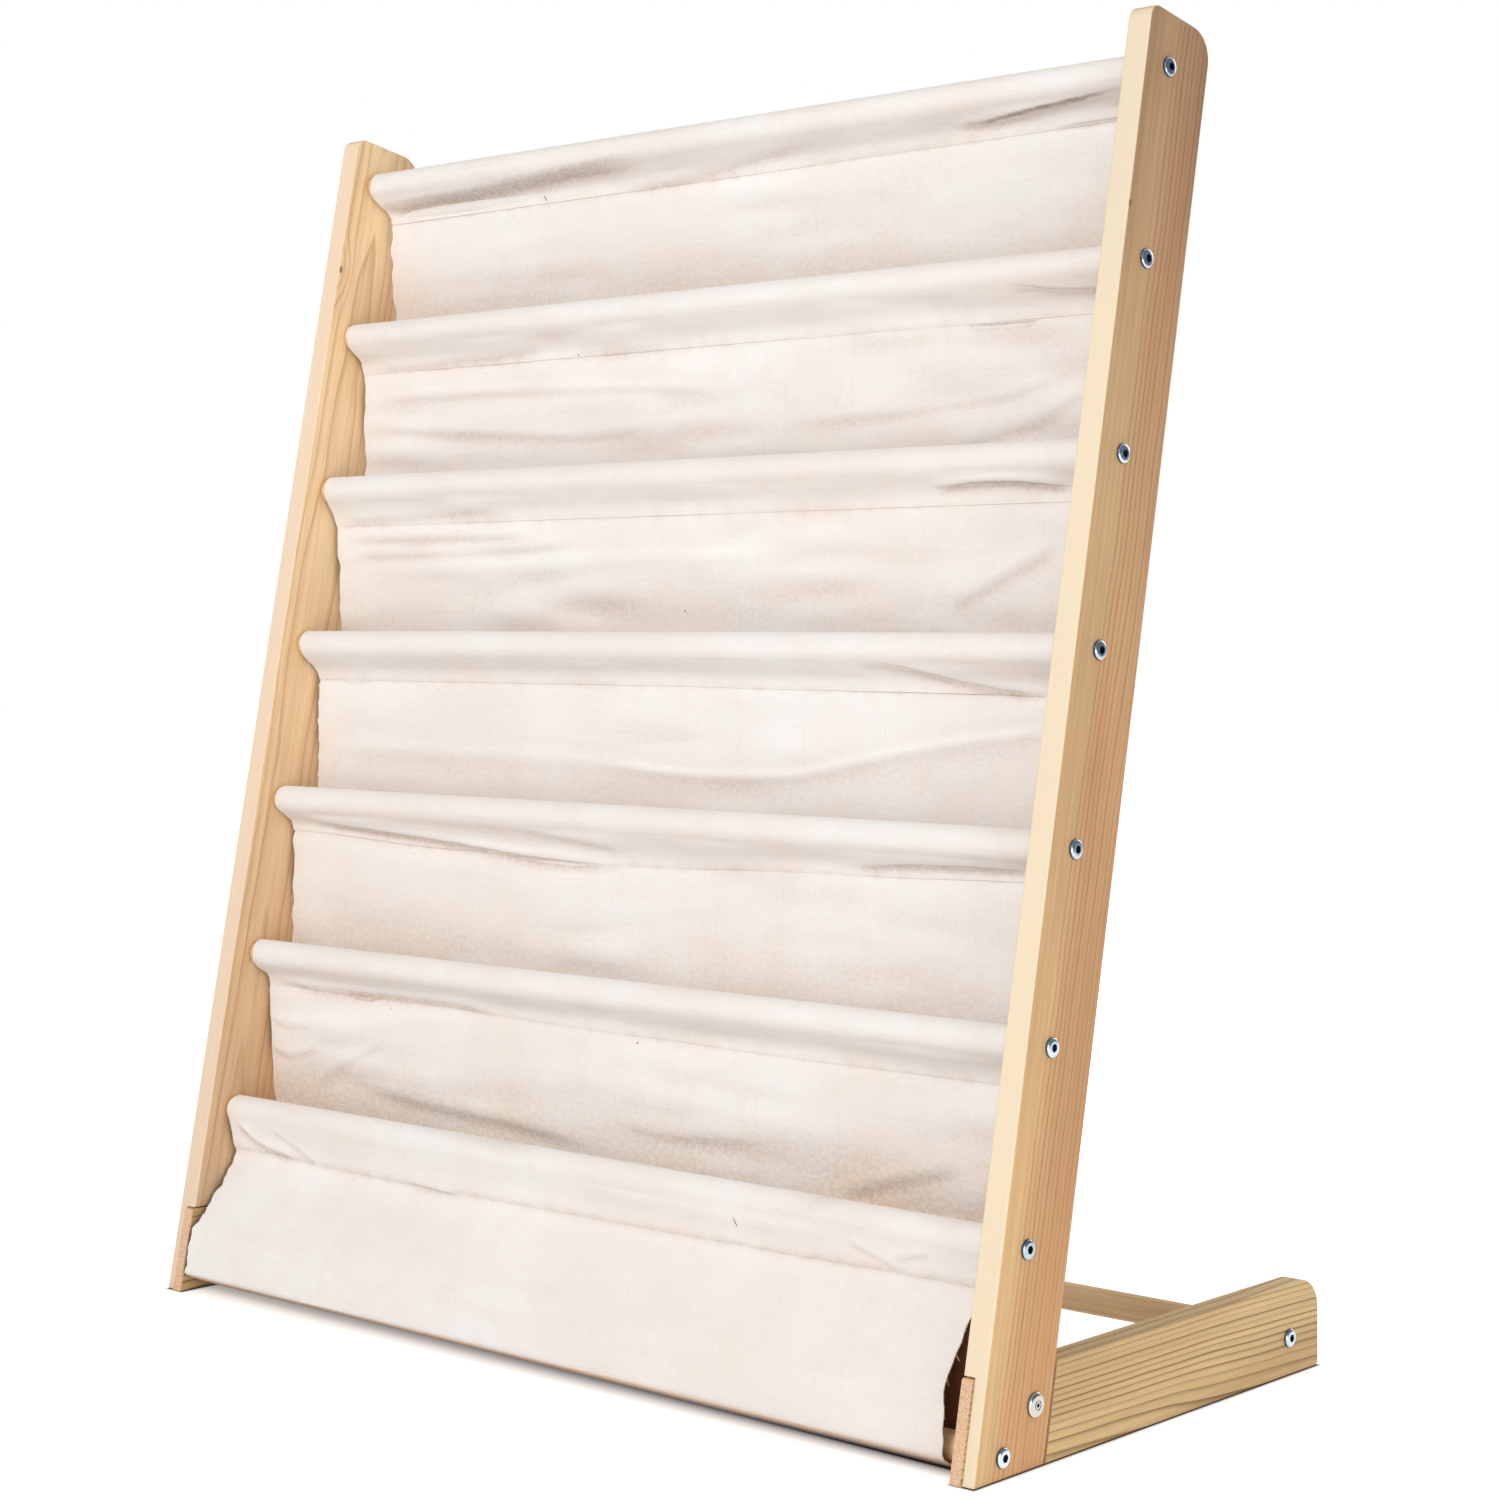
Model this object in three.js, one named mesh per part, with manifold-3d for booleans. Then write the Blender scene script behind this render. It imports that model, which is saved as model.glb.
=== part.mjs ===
import * as THREE from "three";
import { mergeVertices } from "three/addons/utils/BufferGeometryUtils.js";
import Module from "manifold-3d";

// Sling bookshelf: two leaning pine uprights on lapped feet, with a strip of cotton hung over the dowels between them.
// Millimetres. X runs across the shelf, Y from front to back, Z up. The floor is Z = 0.

// Timber
const overallWidth = 800;
const boardThickness = 18;
const uprightDepth = 69;
const topMargin = 35.5;
const leanDegrees = 11.7;
const frontCornerRadius = 9;
const rearCornerRadius = 20;
const easedEdge = 1.2;
const footHeight = 63;
const footEndMargin = 38;
const footTopRadius = 22;
const footHeelRadius = 4;
const tongueProud = 2;

// Dowels, counted from the top, with places measured along the uprights' front edge
const dowelDiameter = 20;
const dowelSetback = 25;
const bottomDowelUp = 19;
const dowelSpacings = [128, 128, 127, 126.5, 124, 124, 126];
const rearDowelBack = 353;
const rearDowelHeight = 26;

// Fasteners
const screwShank = 5;
const screwLength = 50;
const screwPoint = 4;
const screwHead = 13;
const screwHeadHeight = 2.2;
const screwSocket = 4;
const screwSocketDepth = 1.6;
const boltUp = 51;
const boltSetback = 52;
const boltShank = 6;
const boltHead = 16;
const boltHeadHeight = 2.4;
const boltSocket = 4.6;
const boltSocketDepth = 1.5;
const boltEngagement = 6;
const nutBarrel = 8.6;
const nutFlange = 16;
const nutFlangeHeight = 1.6;
const nutEndWall = 1.2;

// Clearances
const seatGap = 0.3;
const cutOverrun = 5;

// Cloth: seam places are given from the axis of the dowel above the seam, and a swing is how far a
// panel has moved to the back where it passes the next dowel
const clothThickness = 1.2;
const clothSideGap = 4;
const sewnGap = 0.4;
const seamDrop = 29;
const stitchedStrip = 3;
const seamBacks = [12, 8, 4, 9, 8, 8, -5];
const panelSwings = [7, 2, 6, -4, -3, 5];
const pocketDepth = 80;
const pocketTurn = 9;
const riserSlack = 2;
const hemLength = 12;
const skirtSeamHeight = 45;
const skirtSeamBack = 12;
const skirtFrontBack = 6;
const skirtToeHeight = 9;
const skirtTwist = 5;
const skirtEdgeIn = 9;
const skirtEdgeUp = 60;

// Folds of the cloth between two dowels: where across the width, how wide, how the fold runs to the
// side on its way down, and how far it stands to the front
const billows = [
  [{ atShare: -0.3, spreadShare: 0.2, tiltShare: 0.1, height: 3 },
    { atShare: 0.24, spreadShare: 0.22, tiltShare: 0, height: -2.4 }],
  [{ atShare: -0.12, spreadShare: 0.24, tiltShare: -0.2, height: 3.4 },
    { atShare: 0.36, spreadShare: 0.14, tiltShare: 0, height: -2 }],
  [{ atShare: 0.05, spreadShare: 0.26, tiltShare: 0.25, height: 3.6 },
    { atShare: -0.38, spreadShare: 0.14, tiltShare: 0, height: -2 }],
  [{ atShare: 0.26, spreadShare: 0.13, tiltShare: -0.5, height: 4.2 },
    { atShare: -0.2, spreadShare: 0.24, tiltShare: 0, height: 2 }],
  [{ atShare: -0.3, spreadShare: 0.18, tiltShare: 0.3, height: 3.4 },
    { atShare: 0.2, spreadShare: 0.24, tiltShare: 0, height: -2.2 }],
  [{ atShare: -0.36, spreadShare: 0.15, tiltShare: 0.25, height: 3.8 },
    { atShare: 0.12, spreadShare: 0.26, tiltShare: 0, height: 2.4 }],
  [{ atShare: -0.1, spreadShare: 0.3, tiltShare: 0, height: 2.4 },
    { atShare: 0.4, spreadShare: 0.12, tiltShare: 0.2, height: -2 }],
];
const billowMarginShare = 0.13;

// Roundness: how many flats stand for a full turn, and steps along the cloth
const dowelSides = 20;
const screwSides = 12;
const boltSides = 16;
const holeSides = 12;
const socketSides = 6;
const cornerSteps = 5;
const clothColumns = 8;
const pocketSteps = 6;
const sleeveSteps = 8;
const panelStepShares = [0, 0.1, 0.28, 0.46, 0.64, 0.82];
const sleeveTurnShare = 0.7;
const skirtStepShares = [[0, 0.12], [0.26, 0.38], [0.6, 0.68]];

// Worked out from the sizes above
const lean = THREE.MathUtils.degToRad(leanDegrees);
const dowelRadius = dowelDiameter / 2;
const outerFace = overallWidth / 2;
const innerFace = outerFace - boardThickness;
const lapPlane = outerFace - boardThickness / 2;
const dowelUps = [...dowelSpacings].reverse().reduce((ups, gap) => [ups[0] + gap, ...ups], [bottomDowelUp]);
const uprightLength = dowelUps[0] + topMargin;
const footEnd = rearDowelBack + footEndMargin;
const layerStep = clothThickness + sewnGap;
const chordShare = Math.cos((Math.PI * sleeveTurnShare) / sleeveSteps);
const sleeveRadius = (dowelRadius + seatGap + clothThickness / 2) / chordShare;
const clothHalfWidth = innerFace - clothSideGap;

const wasm = await Module();
wasm.setup();

// A place on the upright's side face, as (Y, Z), from its distance up the slope and behind the front edge
function onUpright(up, behind) {
  return new THREE.Vector2(
    up * Math.sin(lean) + behind * Math.cos(lean),
    up * Math.cos(lean) - behind * Math.sin(lean),
  );
}

// The Y of a line that runs parallel to the upright, behind its front edge, at a given height
function slopeY(behind, height) {
  return height * Math.tan(lean) + behind / Math.cos(lean);
}

const dowelAxes = dowelUps.map((up) => onUpright(up, dowelSetback));
const rearDowelAxis = new THREE.Vector2(rearDowelBack, rearDowelHeight);
const lapBoltAxis = onUpright(boltUp, boltSetback);

// Solids

function toSolid(geometry) {
  const bare = geometry.clone();
  bare.deleteAttribute("normal");
  bare.deleteAttribute("uv");
  const merged = mergeVertices(bare);
  return new wasm.Manifold(
    new wasm.Mesh({
      numProp: 3,
      vertProperties: new Float32Array(merged.attributes.position.array),
      triVerts: new Uint32Array(merged.index.array),
    }),
  );
}

function toGeometry(solid) {
  const mesh = solid.getMesh();
  const geometry = new THREE.BufferGeometry();
  geometry.setAttribute("position", new THREE.BufferAttribute(mesh.vertProperties, 3));
  geometry.setIndex(new THREE.BufferAttribute(mesh.triVerts, 1));
  geometry.computeVertexNormals();
  return geometry;
}

function cutAway(geometry, tools) {
  const solid = tools.reduce((left, tool) => left.subtract(toSolid(tool)), toSolid(geometry));
  return toGeometry(solid);
}

// Turns a body that is drawn with (Y, Z) on the page and X as its depth into the shelf's frame
const pageToSide = new THREE.Matrix4().makeBasis(
  new THREE.Vector3(0, 1, 0),
  new THREE.Vector3(0, 0, 1),
  new THREE.Vector3(1, 0, 0),
);

// The points of an arc that rounds a corner of an outline
function roundedCorner(before, corner, after, radius) {
  const back = before.clone().sub(corner).normalize();
  const ahead = after.clone().sub(corner).normalize();
  const halfAngle = back.angleTo(ahead) / 2;
  const middle = back.clone().add(ahead).normalize();
  const centre = corner.clone().addScaledVector(middle, radius / Math.sin(halfAngle));
  const start = corner.clone().addScaledVector(back, radius / Math.tan(halfAngle));
  const turn = Math.PI - 2 * halfAngle;
  const side = Math.sign(back.cross(ahead));
  return Array.from({ length: cornerSteps + 1 }, (_, step) =>
    start.clone().rotateAround(centre, (-side * turn * step) / cornerSteps),
  );
}

// A board seen from the side, between two X planes, with eased long edges if it has them
function board(points, fromX, toX, eased) {
  const geometry = new THREE.ExtrudeGeometry(new THREE.Shape(points), {
    depth: toX - fromX - 2 * eased,
    bevelEnabled: eased > 0,
    bevelThickness: eased,
    bevelSize: eased,
    bevelOffset: -eased,
    bevelSegments: 1,
  });
  geometry.translate(0, 0, fromX + eased);
  return geometry.applyMatrix4(pageToSide);
}

// A round bar along X
function barAlongX(radius, fromX, toX, axis, sides) {
  const geometry = new THREE.CylinderGeometry(radius, radius, toX - fromX, sides);
  geometry.rotateZ(-Math.PI / 2);
  geometry.translate((fromX + toX) / 2, axis.x, axis.y);
  return geometry;
}

// A turned body along X from (radius, X) pairs that run from the inner end to the outer end
function turnedAlongX(profile, axis, sides) {
  const geometry = new THREE.LatheGeometry(profile.map(([radius, x]) => new THREE.Vector2(radius, x)), sides);
  geometry.rotateZ(-Math.PI / 2);
  geometry.translate(0, axis.x, axis.y);
  return geometry;
}

// Timber

function upright() {
  const frontFoot = onUpright(0, 0);
  const frontTop = onUpright(uprightLength, 0);
  const rearTop = onUpright(uprightLength, uprightDepth);
  const rearFoot = new THREE.Vector2(slopeY(uprightDepth, 0), 0);
  const outline = [
    frontFoot,
    rearFoot,
    ...roundedCorner(rearFoot, rearTop, frontTop, rearCornerRadius),
    ...roundedCorner(rearTop, frontTop, frontFoot, frontCornerRadius),
  ];
  const lapSeat = footHeight + seatGap;
  const notch = board(
    [
      new THREE.Vector2(slopeY(-cutOverrun, 0) - cutOverrun, -cutOverrun),
      new THREE.Vector2(slopeY(uprightDepth, lapSeat) + cutOverrun, -cutOverrun),
      new THREE.Vector2(slopeY(uprightDepth, lapSeat) + cutOverrun, lapSeat),
      new THREE.Vector2(slopeY(-cutOverrun, 0) - cutOverrun, lapSeat),
    ],
    innerFace - cutOverrun,
    lapPlane + seatGap / 2,
    0,
  );
  const holes = dowelAxes.map((axis) => throughHole(screwShank, axis));
  const boltHole = throughHole(boltShank, lapBoltAxis);
  return cutAway(board(outline, innerFace, outerFace, easedEdge), [notch, ...holes, boltHole]);
}

function foot() {
  const frontFloor = new THREE.Vector2(slopeY(-tongueProud, 0), 0);
  const frontTop = new THREE.Vector2(slopeY(-tongueProud, footHeight), footHeight);
  const rearFloor = new THREE.Vector2(footEnd, 0);
  const rearTop = new THREE.Vector2(footEnd, footHeight);
  const outline = [
    frontFloor,
    ...roundedCorner(frontFloor, rearFloor, rearTop, footHeelRadius),
    ...roundedCorner(rearFloor, rearTop, frontTop, footTopRadius),
    frontTop,
  ];
  const shoulder = uprightDepth + seatGap;
  const housing = board(
    [
      new THREE.Vector2(slopeY(-tongueProud, 0) - cutOverrun, -cutOverrun),
      new THREE.Vector2(slopeY(shoulder, -cutOverrun), -cutOverrun),
      new THREE.Vector2(slopeY(shoulder, footHeight + cutOverrun), footHeight + cutOverrun),
      new THREE.Vector2(slopeY(-tongueProud, 0) - cutOverrun, footHeight + cutOverrun),
    ],
    lapPlane - seatGap / 2,
    outerFace + cutOverrun,
    0,
  );
  return cutAway(board(outline, innerFace, outerFace, easedEdge), [
    housing,
    throughHole(screwShank, dowelAxes[dowelAxes.length - 1]),
    throughHole(screwShank, rearDowelAxis),
    throughHole(nutBarrel, lapBoltAxis),
  ]);
}

// A clearance hole through the right-hand boards
function throughHole(shank, axis) {
  return barAlongX(shank / 2 + seatGap, innerFace - cutOverrun, outerFace + cutOverrun, axis, holeSides);
}

// A dowel, with a pilot hole for a screw in each end
function dowel(axis) {
  const end = innerFace - seatGap;
  const pilotRadius = screwShank / 2 + seatGap;
  const pilotEnd = outerFace + seatGap - screwLength - seatGap;
  const profile = [
    [0, -pilotEnd],
    [pilotRadius, -pilotEnd],
    [pilotRadius, -end],
    [dowelRadius, -end],
    [dowelRadius, end],
    [pilotRadius, end],
    [pilotRadius, pilotEnd],
    [0, pilotEnd],
  ];
  return turnedAlongX(profile, axis, dowelSides);
}

// Fasteners, made for the right-hand side

// The profile of a low domed head that seats on a face
function domedHead(diameter, height, seat) {
  const rimHeightShare = 0.35;
  const crownRadiusShare = 0.66;
  return [
    [diameter / 2, seat],
    [diameter / 2, seat + height * rimHeightShare],
    [(diameter / 2) * crownRadiusShare, seat + height],
    [0, seat + height],
  ];
}

function hexSocket(acrossFlats, depth, top, axis) {
  const cornerRadius = acrossFlats / 2 / Math.cos(Math.PI / socketSides);
  return barAlongX(cornerRadius, top - depth, top + cutOverrun, axis, socketSides);
}

function dowelScrew(axis) {
  const seat = outerFace + seatGap;
  const tip = seat - screwLength;
  const profile = [
    [0, tip],
    [screwShank / 2, tip + screwPoint],
    [screwShank / 2, seat],
    ...domedHead(screwHead, screwHeadHeight, seat),
  ];
  const top = seat + screwHeadHeight;
  return cutAway(turnedAlongX(profile, axis, screwSides), [hexSocket(screwSocket, screwSocketDepth, top, axis)]);
}

function lapBolt(axis) {
  const seat = outerFace + seatGap;
  const tip = lapPlane - boltEngagement;
  const profile = [
    [0, tip],
    [boltShank / 2, tip],
    [boltShank / 2, seat],
    ...domedHead(boltHead, boltHeadHeight, seat),
  ];
  const top = seat + boltHeadHeight;
  return cutAway(turnedAlongX(profile, axis, boltSides), [hexSocket(boltSocket, boltSocketDepth, top, axis)]);
}

// The nut's barrel goes into the tongue from the inside and takes the bolt's shank
function sleeveNut(axis) {
  const seat = innerFace - seatGap;
  const mouth = lapPlane - seatGap;
  const boreRadius = boltShank / 2 + seatGap;
  const boreEnd = Math.min(lapPlane - boltEngagement - seatGap, mouth - nutEndWall);
  const profile = [
    [0, seat - nutFlangeHeight],
    [nutFlange / 2, seat - nutFlangeHeight],
    [nutFlange / 2, seat],
    [nutBarrel / 2, seat],
    [nutBarrel / 2, mouth],
    [boreRadius, mouth],
    [boreRadius, boreEnd],
    [0, boreEnd],
  ];
  return turnedAlongX(profile, axis, boltSides);
}

// Cloth

// How far the slack cloth stands to the front or back at a place between two dowels
function billow(x, height) {
  const span = dowelAxes.findIndex((axis, i) => i > 0 && height >= axis.y) - 1;
  if (span < 0) return 0;
  const downShare = (dowelAxes[span].y - height) / (dowelAxes[span].y - dowelAxes[span + 1].y);
  const inner = (downShare - billowMarginShare) / (1 - 2 * billowMarginShare);
  if (inner <= 0 || inner >= 1) return 0;
  const acrossShare = x / (2 * clothHalfWidth);
  const stand = billows[span].reduce((sum, fold) => {
    const away = (acrossShare - fold.atShare - fold.tiltShare * (downShare - 1 / 2)) / fold.spreadShare;
    return sum + fold.height * Math.exp(-away * away);
  }, 0);
  return -stand * Math.sin(Math.PI * inner) ** 2;
}

// A strip of cloth with thickness, from a function that gives its line as (Y, Z) points at each X, and
// one that says how far a point is drawn in to the left
function cloth(lineAt, drawnIn = () => 0) {
  const positions = [];
  const index = [];
  const columns = Array.from({ length: clothColumns + 1 }, (_, i) => {
    const x = clothHalfWidth * ((2 * i) / clothColumns - 1);
    const line = lineAt(x).map((p) => new THREE.Vector2(p.x + billow(x, p.y), p.y));
    return { x, line };
  });
  const rows = columns[0].line.length;
  for (const side of [1, -1]) {
    for (const { x, line } of columns) {
      line.forEach((point, j) => {
        const before = line[Math.max(j - 1, 0)];
        const after = line[Math.min(j + 1, rows - 1)];
        const along = after.clone().sub(before).normalize();
        const out = new THREE.Vector2(-along.y, along.x).multiplyScalar((side * clothThickness) / 2);
        positions.push(x - drawnIn(x, point.y), point.x + out.x, point.y + out.y);
      });
    }
  }
  const front = (i, j) => i * rows + j;
  const back = (i, j) => (clothColumns + 1) * rows + i * rows + j;
  const quad = (a, b, c, d) => index.push(a, b, c, a, c, d);
  for (let i = 0; i < clothColumns; i++) {
    for (let j = 0; j < rows - 1; j++) {
      quad(front(i, j), front(i + 1, j), front(i + 1, j + 1), front(i, j + 1));
      quad(back(i, j), back(i, j + 1), back(i + 1, j + 1), back(i + 1, j));
    }
    quad(front(i, 0), back(i, 0), back(i + 1, 0), front(i + 1, 0));
    quad(front(i, rows - 1), front(i + 1, rows - 1), back(i + 1, rows - 1), back(i, rows - 1));
  }
  for (let j = 0; j < rows - 1; j++) {
    quad(front(0, j), front(0, j + 1), back(0, j + 1), back(0, j));
    quad(front(clothColumns, j), back(clothColumns, j), back(clothColumns, j + 1), front(clothColumns, j + 1));
  }
  const geometry = new THREE.BufferGeometry();
  geometry.setAttribute("position", new THREE.BufferAttribute(new Float32Array(positions), 3));
  geometry.setIndex(index);
  geometry.computeVertexNormals();
  return geometry;
}

// Points on an arc about a centre, both ends included
function arc(centre, radius, fromAngle, toAngle, steps) {
  return Array.from({ length: steps + 1 }, (_, step) => {
    const angle = fromAngle + ((toAngle - fromAngle) * step) / steps;
    return new THREE.Vector2(Math.cos(angle), Math.sin(angle)).multiplyScalar(radius).add(centre);
  });
}

function seamFront(i) {
  return new THREE.Vector2(dowelAxes[i].x + seamBacks[i], dowelAxes[i].y - seamDrop);
}

function seamRear(i) {
  return seamFront(i).add(new THREE.Vector2(layerStep, 0));
}

// Angles at which lines from two outer points touch the sleeve's circle, going anticlockwise between them
function sleeveAngles(axis, fromPoint, toPoint) {
  const [from, to] = [fromPoint, toPoint].map((point) => point.clone().sub(axis));
  const fromAngle = from.angle() - 2 * Math.PI + Math.acos(sleeveRadius / from.length());
  const toAngle = to.angle() - Math.acos(sleeveRadius / to.length());
  return [fromAngle, toAngle];
}

// The sleeve round a dowel: from the seam up behind it, over it, and down its front to the seam again
function sleeve(i) {
  const stitched = new THREE.Vector2(0, stitchedStrip);
  const rear = seamRear(i).add(stitched);
  const front = seamFront(i).add(stitched);
  const [rearAngle, frontAngle] = sleeveAngles(dowelAxes[i], rear, front);
  return [
    seamRear(i),
    rear,
    ...arc(dowelAxes[i], sleeveRadius, rearAngle, frontAngle, sleeveSteps),
    front,
    seamFront(i).add(new THREE.Vector2(0, seatGap / 2)),
  ];
}

// The hem behind the first panel, then the first sleeve
function topSleeveLine() {
  const hemEnd = seamRear(0).add(new THREE.Vector2((panelSwings[0] * hemLength) / seamDrop, -hemLength));
  return [hemEnd, ...sleeve(0)];
}

// A panel that hangs from seam i, turns up in a pocket behind the next panel, and rises into sleeve i + 1
function pocketLine(i) {
  const next = i + 1;
  const top = seamFront(i).sub(new THREE.Vector2(0, seatGap / 2));
  const panelY = top.x + panelSwings[i];
  const riserY = seamRear(next).x + Math.max(panelSwings[next] ?? 0, 0) + riserSlack;
  const halfWidth = (panelY - riserY) / 2;
  const turnRadius = Math.min(pocketTurn, halfWidth);
  const turnHeight = dowelAxes[next].y - pocketDepth + turnRadius;
  const swingHeight = top.y - dowelAxes[next].y;
  const panel = panelStepShares.map((share) => {
    const height = THREE.MathUtils.lerp(top.y, turnHeight, share);
    const swing = panelSwings[i] * THREE.MathUtils.smoothstep(top.y - height, 0, swingHeight);
    const belowShare = Math.max(0, (dowelAxes[next].y - height) / (dowelAxes[next].y - turnHeight));
    return new THREE.Vector2(top.x + swing - (halfWidth - turnRadius) * belowShare, height);
  });
  const turn = arc(new THREE.Vector2((panelY + riserY) / 2, turnHeight), turnRadius, 0, -Math.PI, pocketSteps);
  return [...panel, ...turn, ...sleeve(next)];
}

// The last panel hangs to the front of the bottom dowel, turns up behind it, and its hem is sewn on behind
function skirtLine(x) {
  const axis = dowelAxes[dowelAxes.length - 1];
  const top = seamFront(dowelAxes.length - 2).sub(new THREE.Vector2(0, seatGap / 2));
  const twist = (skirtTwist * x) / clothHalfWidth;
  const seam = new THREE.Vector2(skirtSeamBack + twist, skirtSeamHeight);
  const front = new THREE.Vector2(skirtFrontBack + twist, axis.y + dowelRadius / 2);
  const toe = new THREE.Vector2(front.x + clothThickness, skirtToeHeight);
  const panel = skirtStepShares.map(
    ([forward, down]) =>
      new THREE.Vector2(THREE.MathUtils.lerp(top.x, seam.x, forward), THREE.MathUtils.lerp(top.y, seam.y, down)),
  );
  const along = panel[panel.length - 1].clone().sub(seam).normalize();
  const behind = new THREE.Vector2(along.y, -along.x).multiplyScalar(layerStep);
  const hemSeam = seam.clone().add(behind);
  const [toeAngle, hemAngle] = sleeveAngles(axis, toe, hemSeam);
  const hem = panel.slice(1).map((point) => point.clone().add(behind));
  return [
    top,
    ...panel,
    seam,
    front,
    toe,
    ...arc(axis, sleeveRadius, toeAngle, hemAngle, sleeveSteps - 2),
    hemSeam,
    ...hem.reverse(),
  ];
}

// The skirt's right-hand edge is sewn in towards its foot
function skirtDrawnIn(x, height) {
  const upShare = THREE.MathUtils.smoothstep(height, skirtEdgeUp, seamFront(dowelAxes.length - 2).y);
  return (skirtEdgeIn * Math.max(x, 0) * (1 - upShare)) / clothHalfWidth;
}

// Assembly

const pine = new THREE.MeshStandardMaterial({ color: 0xe6c48f, roughness: 0.6, metalness: 0 });
const endPine = new THREE.MeshStandardMaterial({ color: 0xdcb67f, roughness: 0.65, metalness: 0 });
const zinc = new THREE.MeshStandardMaterial({ color: 0xc4c8cc, roughness: 0.35, metalness: 1 });
const cotton = new THREE.MeshStandardMaterial({ color: 0xf0e6dc, roughness: 0.95, metalness: 0 });

const bookshelf = new THREE.Group();
bookshelf.name = "sling_bookshelf";
bookshelf.position.y = -(slopeY(-tongueProud, 0) + footEnd) / 2;

function add(parent, name, geometry, look) {
  const mesh = new THREE.Mesh(geometry, look.clone());
  mesh.name = name;
  parent.add(mesh);
}

// The two sides mirror each other
const sideGeometry = { upright: upright(), foot: foot() };
for (const [side, mirror] of [["right", 1], ["left", -1]]) {
  const group = new THREE.Group();
  group.scale.x = mirror;
  bookshelf.add(group);
  add(group, `${side}_upright`, sideGeometry.upright, pine);
  add(group, `${side}_foot`, sideGeometry.foot, pine);
  dowelAxes.forEach((axis, i) => add(group, `${side}_dowel_screw_${i + 1}`, dowelScrew(axis), zinc));
  add(group, `${side}_rear_dowel_screw`, dowelScrew(rearDowelAxis), zinc);
  add(group, `${side}_lap_bolt`, lapBolt(lapBoltAxis), zinc);
  add(group, `${side}_sleeve_nut`, sleeveNut(lapBoltAxis), zinc);
}

dowelAxes.forEach((axis, i) => {
  const name = i < dowelAxes.length - 1 ? `pocket_dowel_${i + 1}` : "bottom_dowel";
  add(bookshelf, name, dowel(axis), endPine);
});
add(bookshelf, "rear_dowel", dowel(rearDowelAxis), endPine);

add(bookshelf, "top_sleeve", cloth(topSleeveLine), cotton);
panelSwings.forEach((_, i) => add(bookshelf, `sling_${i + 1}`, cloth(() => pocketLine(i)), cotton));
add(bookshelf, "front_skirt", cloth(skirtLine, skirtDrawnIn), cotton);

export default bookshelf;
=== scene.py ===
import math
import random

import bmesh
import bpy
import numpy as np
from mathutils import Matrix, Vector

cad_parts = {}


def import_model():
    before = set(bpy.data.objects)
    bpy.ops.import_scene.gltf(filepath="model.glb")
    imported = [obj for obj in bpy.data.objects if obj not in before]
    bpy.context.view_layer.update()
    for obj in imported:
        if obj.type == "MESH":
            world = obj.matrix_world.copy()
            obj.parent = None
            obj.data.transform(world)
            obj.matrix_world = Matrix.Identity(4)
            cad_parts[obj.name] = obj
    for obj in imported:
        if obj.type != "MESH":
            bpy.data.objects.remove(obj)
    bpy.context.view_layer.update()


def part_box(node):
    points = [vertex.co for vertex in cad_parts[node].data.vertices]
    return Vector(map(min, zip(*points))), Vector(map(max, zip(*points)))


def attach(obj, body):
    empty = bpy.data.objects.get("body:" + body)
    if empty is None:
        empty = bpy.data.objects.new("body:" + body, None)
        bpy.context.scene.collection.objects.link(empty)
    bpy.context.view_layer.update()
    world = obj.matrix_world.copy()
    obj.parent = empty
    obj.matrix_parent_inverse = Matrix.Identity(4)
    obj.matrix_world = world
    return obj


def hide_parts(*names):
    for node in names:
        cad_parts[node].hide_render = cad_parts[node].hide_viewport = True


# Sling bookshelf: pine uprights on lapped feet, and a strip of cotton hung over the dowels between them.
# Metres, but for tables times MM. X runs across the shelf, Y from front to back, Z up. The floor is Z = 0.

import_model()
MM = 0.001

# Timber
UPRIGHT_DEPTH = 0.069
TOP_MARGIN = 0.0355
FRONT_CORNER_RADIUS = 0.009
REAR_CORNER_RADIUS = 0.020
CORNER_STEPS = 14
DOWEL_SIDES = 64
DRILL_SIDES = 24
EASED_EDGE = 0.0013
EASED_ANGLE = 35
FOOT_TOP_RADIUS = 0.022
FOOT_HEEL_RADIUS = 0.004
TONGUE_PROUD = 0.002
SEAT_GAP = 0.0003
NOTCH_GAP = 0.0011
SHOULDER_GAP = 0.0016
CUT_OVERRUN = 0.005

# Fasteners
SCREW_LENGTH = 0.050
SCREW_POINT = 0.004
SCREW_SHANK = 0.005
SCREW_HEAD = 0.013
SCREW_HEAD_HEIGHT = 0.0022
SCREW_SOCKET = (0.005, 0.0018)
BOLT_SHANK = 0.006
BOLT_HEAD = 0.016
BOLT_HEAD_HEIGHT = 0.0024
BOLT_SOCKET = (0.0026, 0.0015)
BOLT_ENGAGEMENT = 0.006
NUT_BARREL = 0.0086
NUT_FLANGE_HEIGHT = 0.0016

# The nut's eased rim, and a head's rounded foot, rim and crown, as shares of their heights and radii
NUT_RIM = (0.7, 0.9)
HEAD_FOOT = (0.08, 0.985)
HEAD_RIM = 0.28
HEAD_CROWN = 0.56
HEAD_STEPS = 7

# How deep the bright lip of a socket is above its painted shade, as a share, and how little a face of the rim
# looks to the side to get the rim's painted shade
SOCKET_LIP = 0.2
RIM_FACING = 0.55

# Up to how many degrees each kind of surface is shaded smooth
BOARD_SHARP = 40
DOWEL_SHARP = 50
HEAD_SHARP = 30
CLOTH_SHARP = 60
THREAD_SHARP = 80

# The ring sunk in the bolt's head, as shares of the head's diameter and depths
BOLT_RING = [(0.20, 0), (0.19, 0.0005), (0.16, 0.0005), (0.15, 0), (0, 0)]

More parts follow.
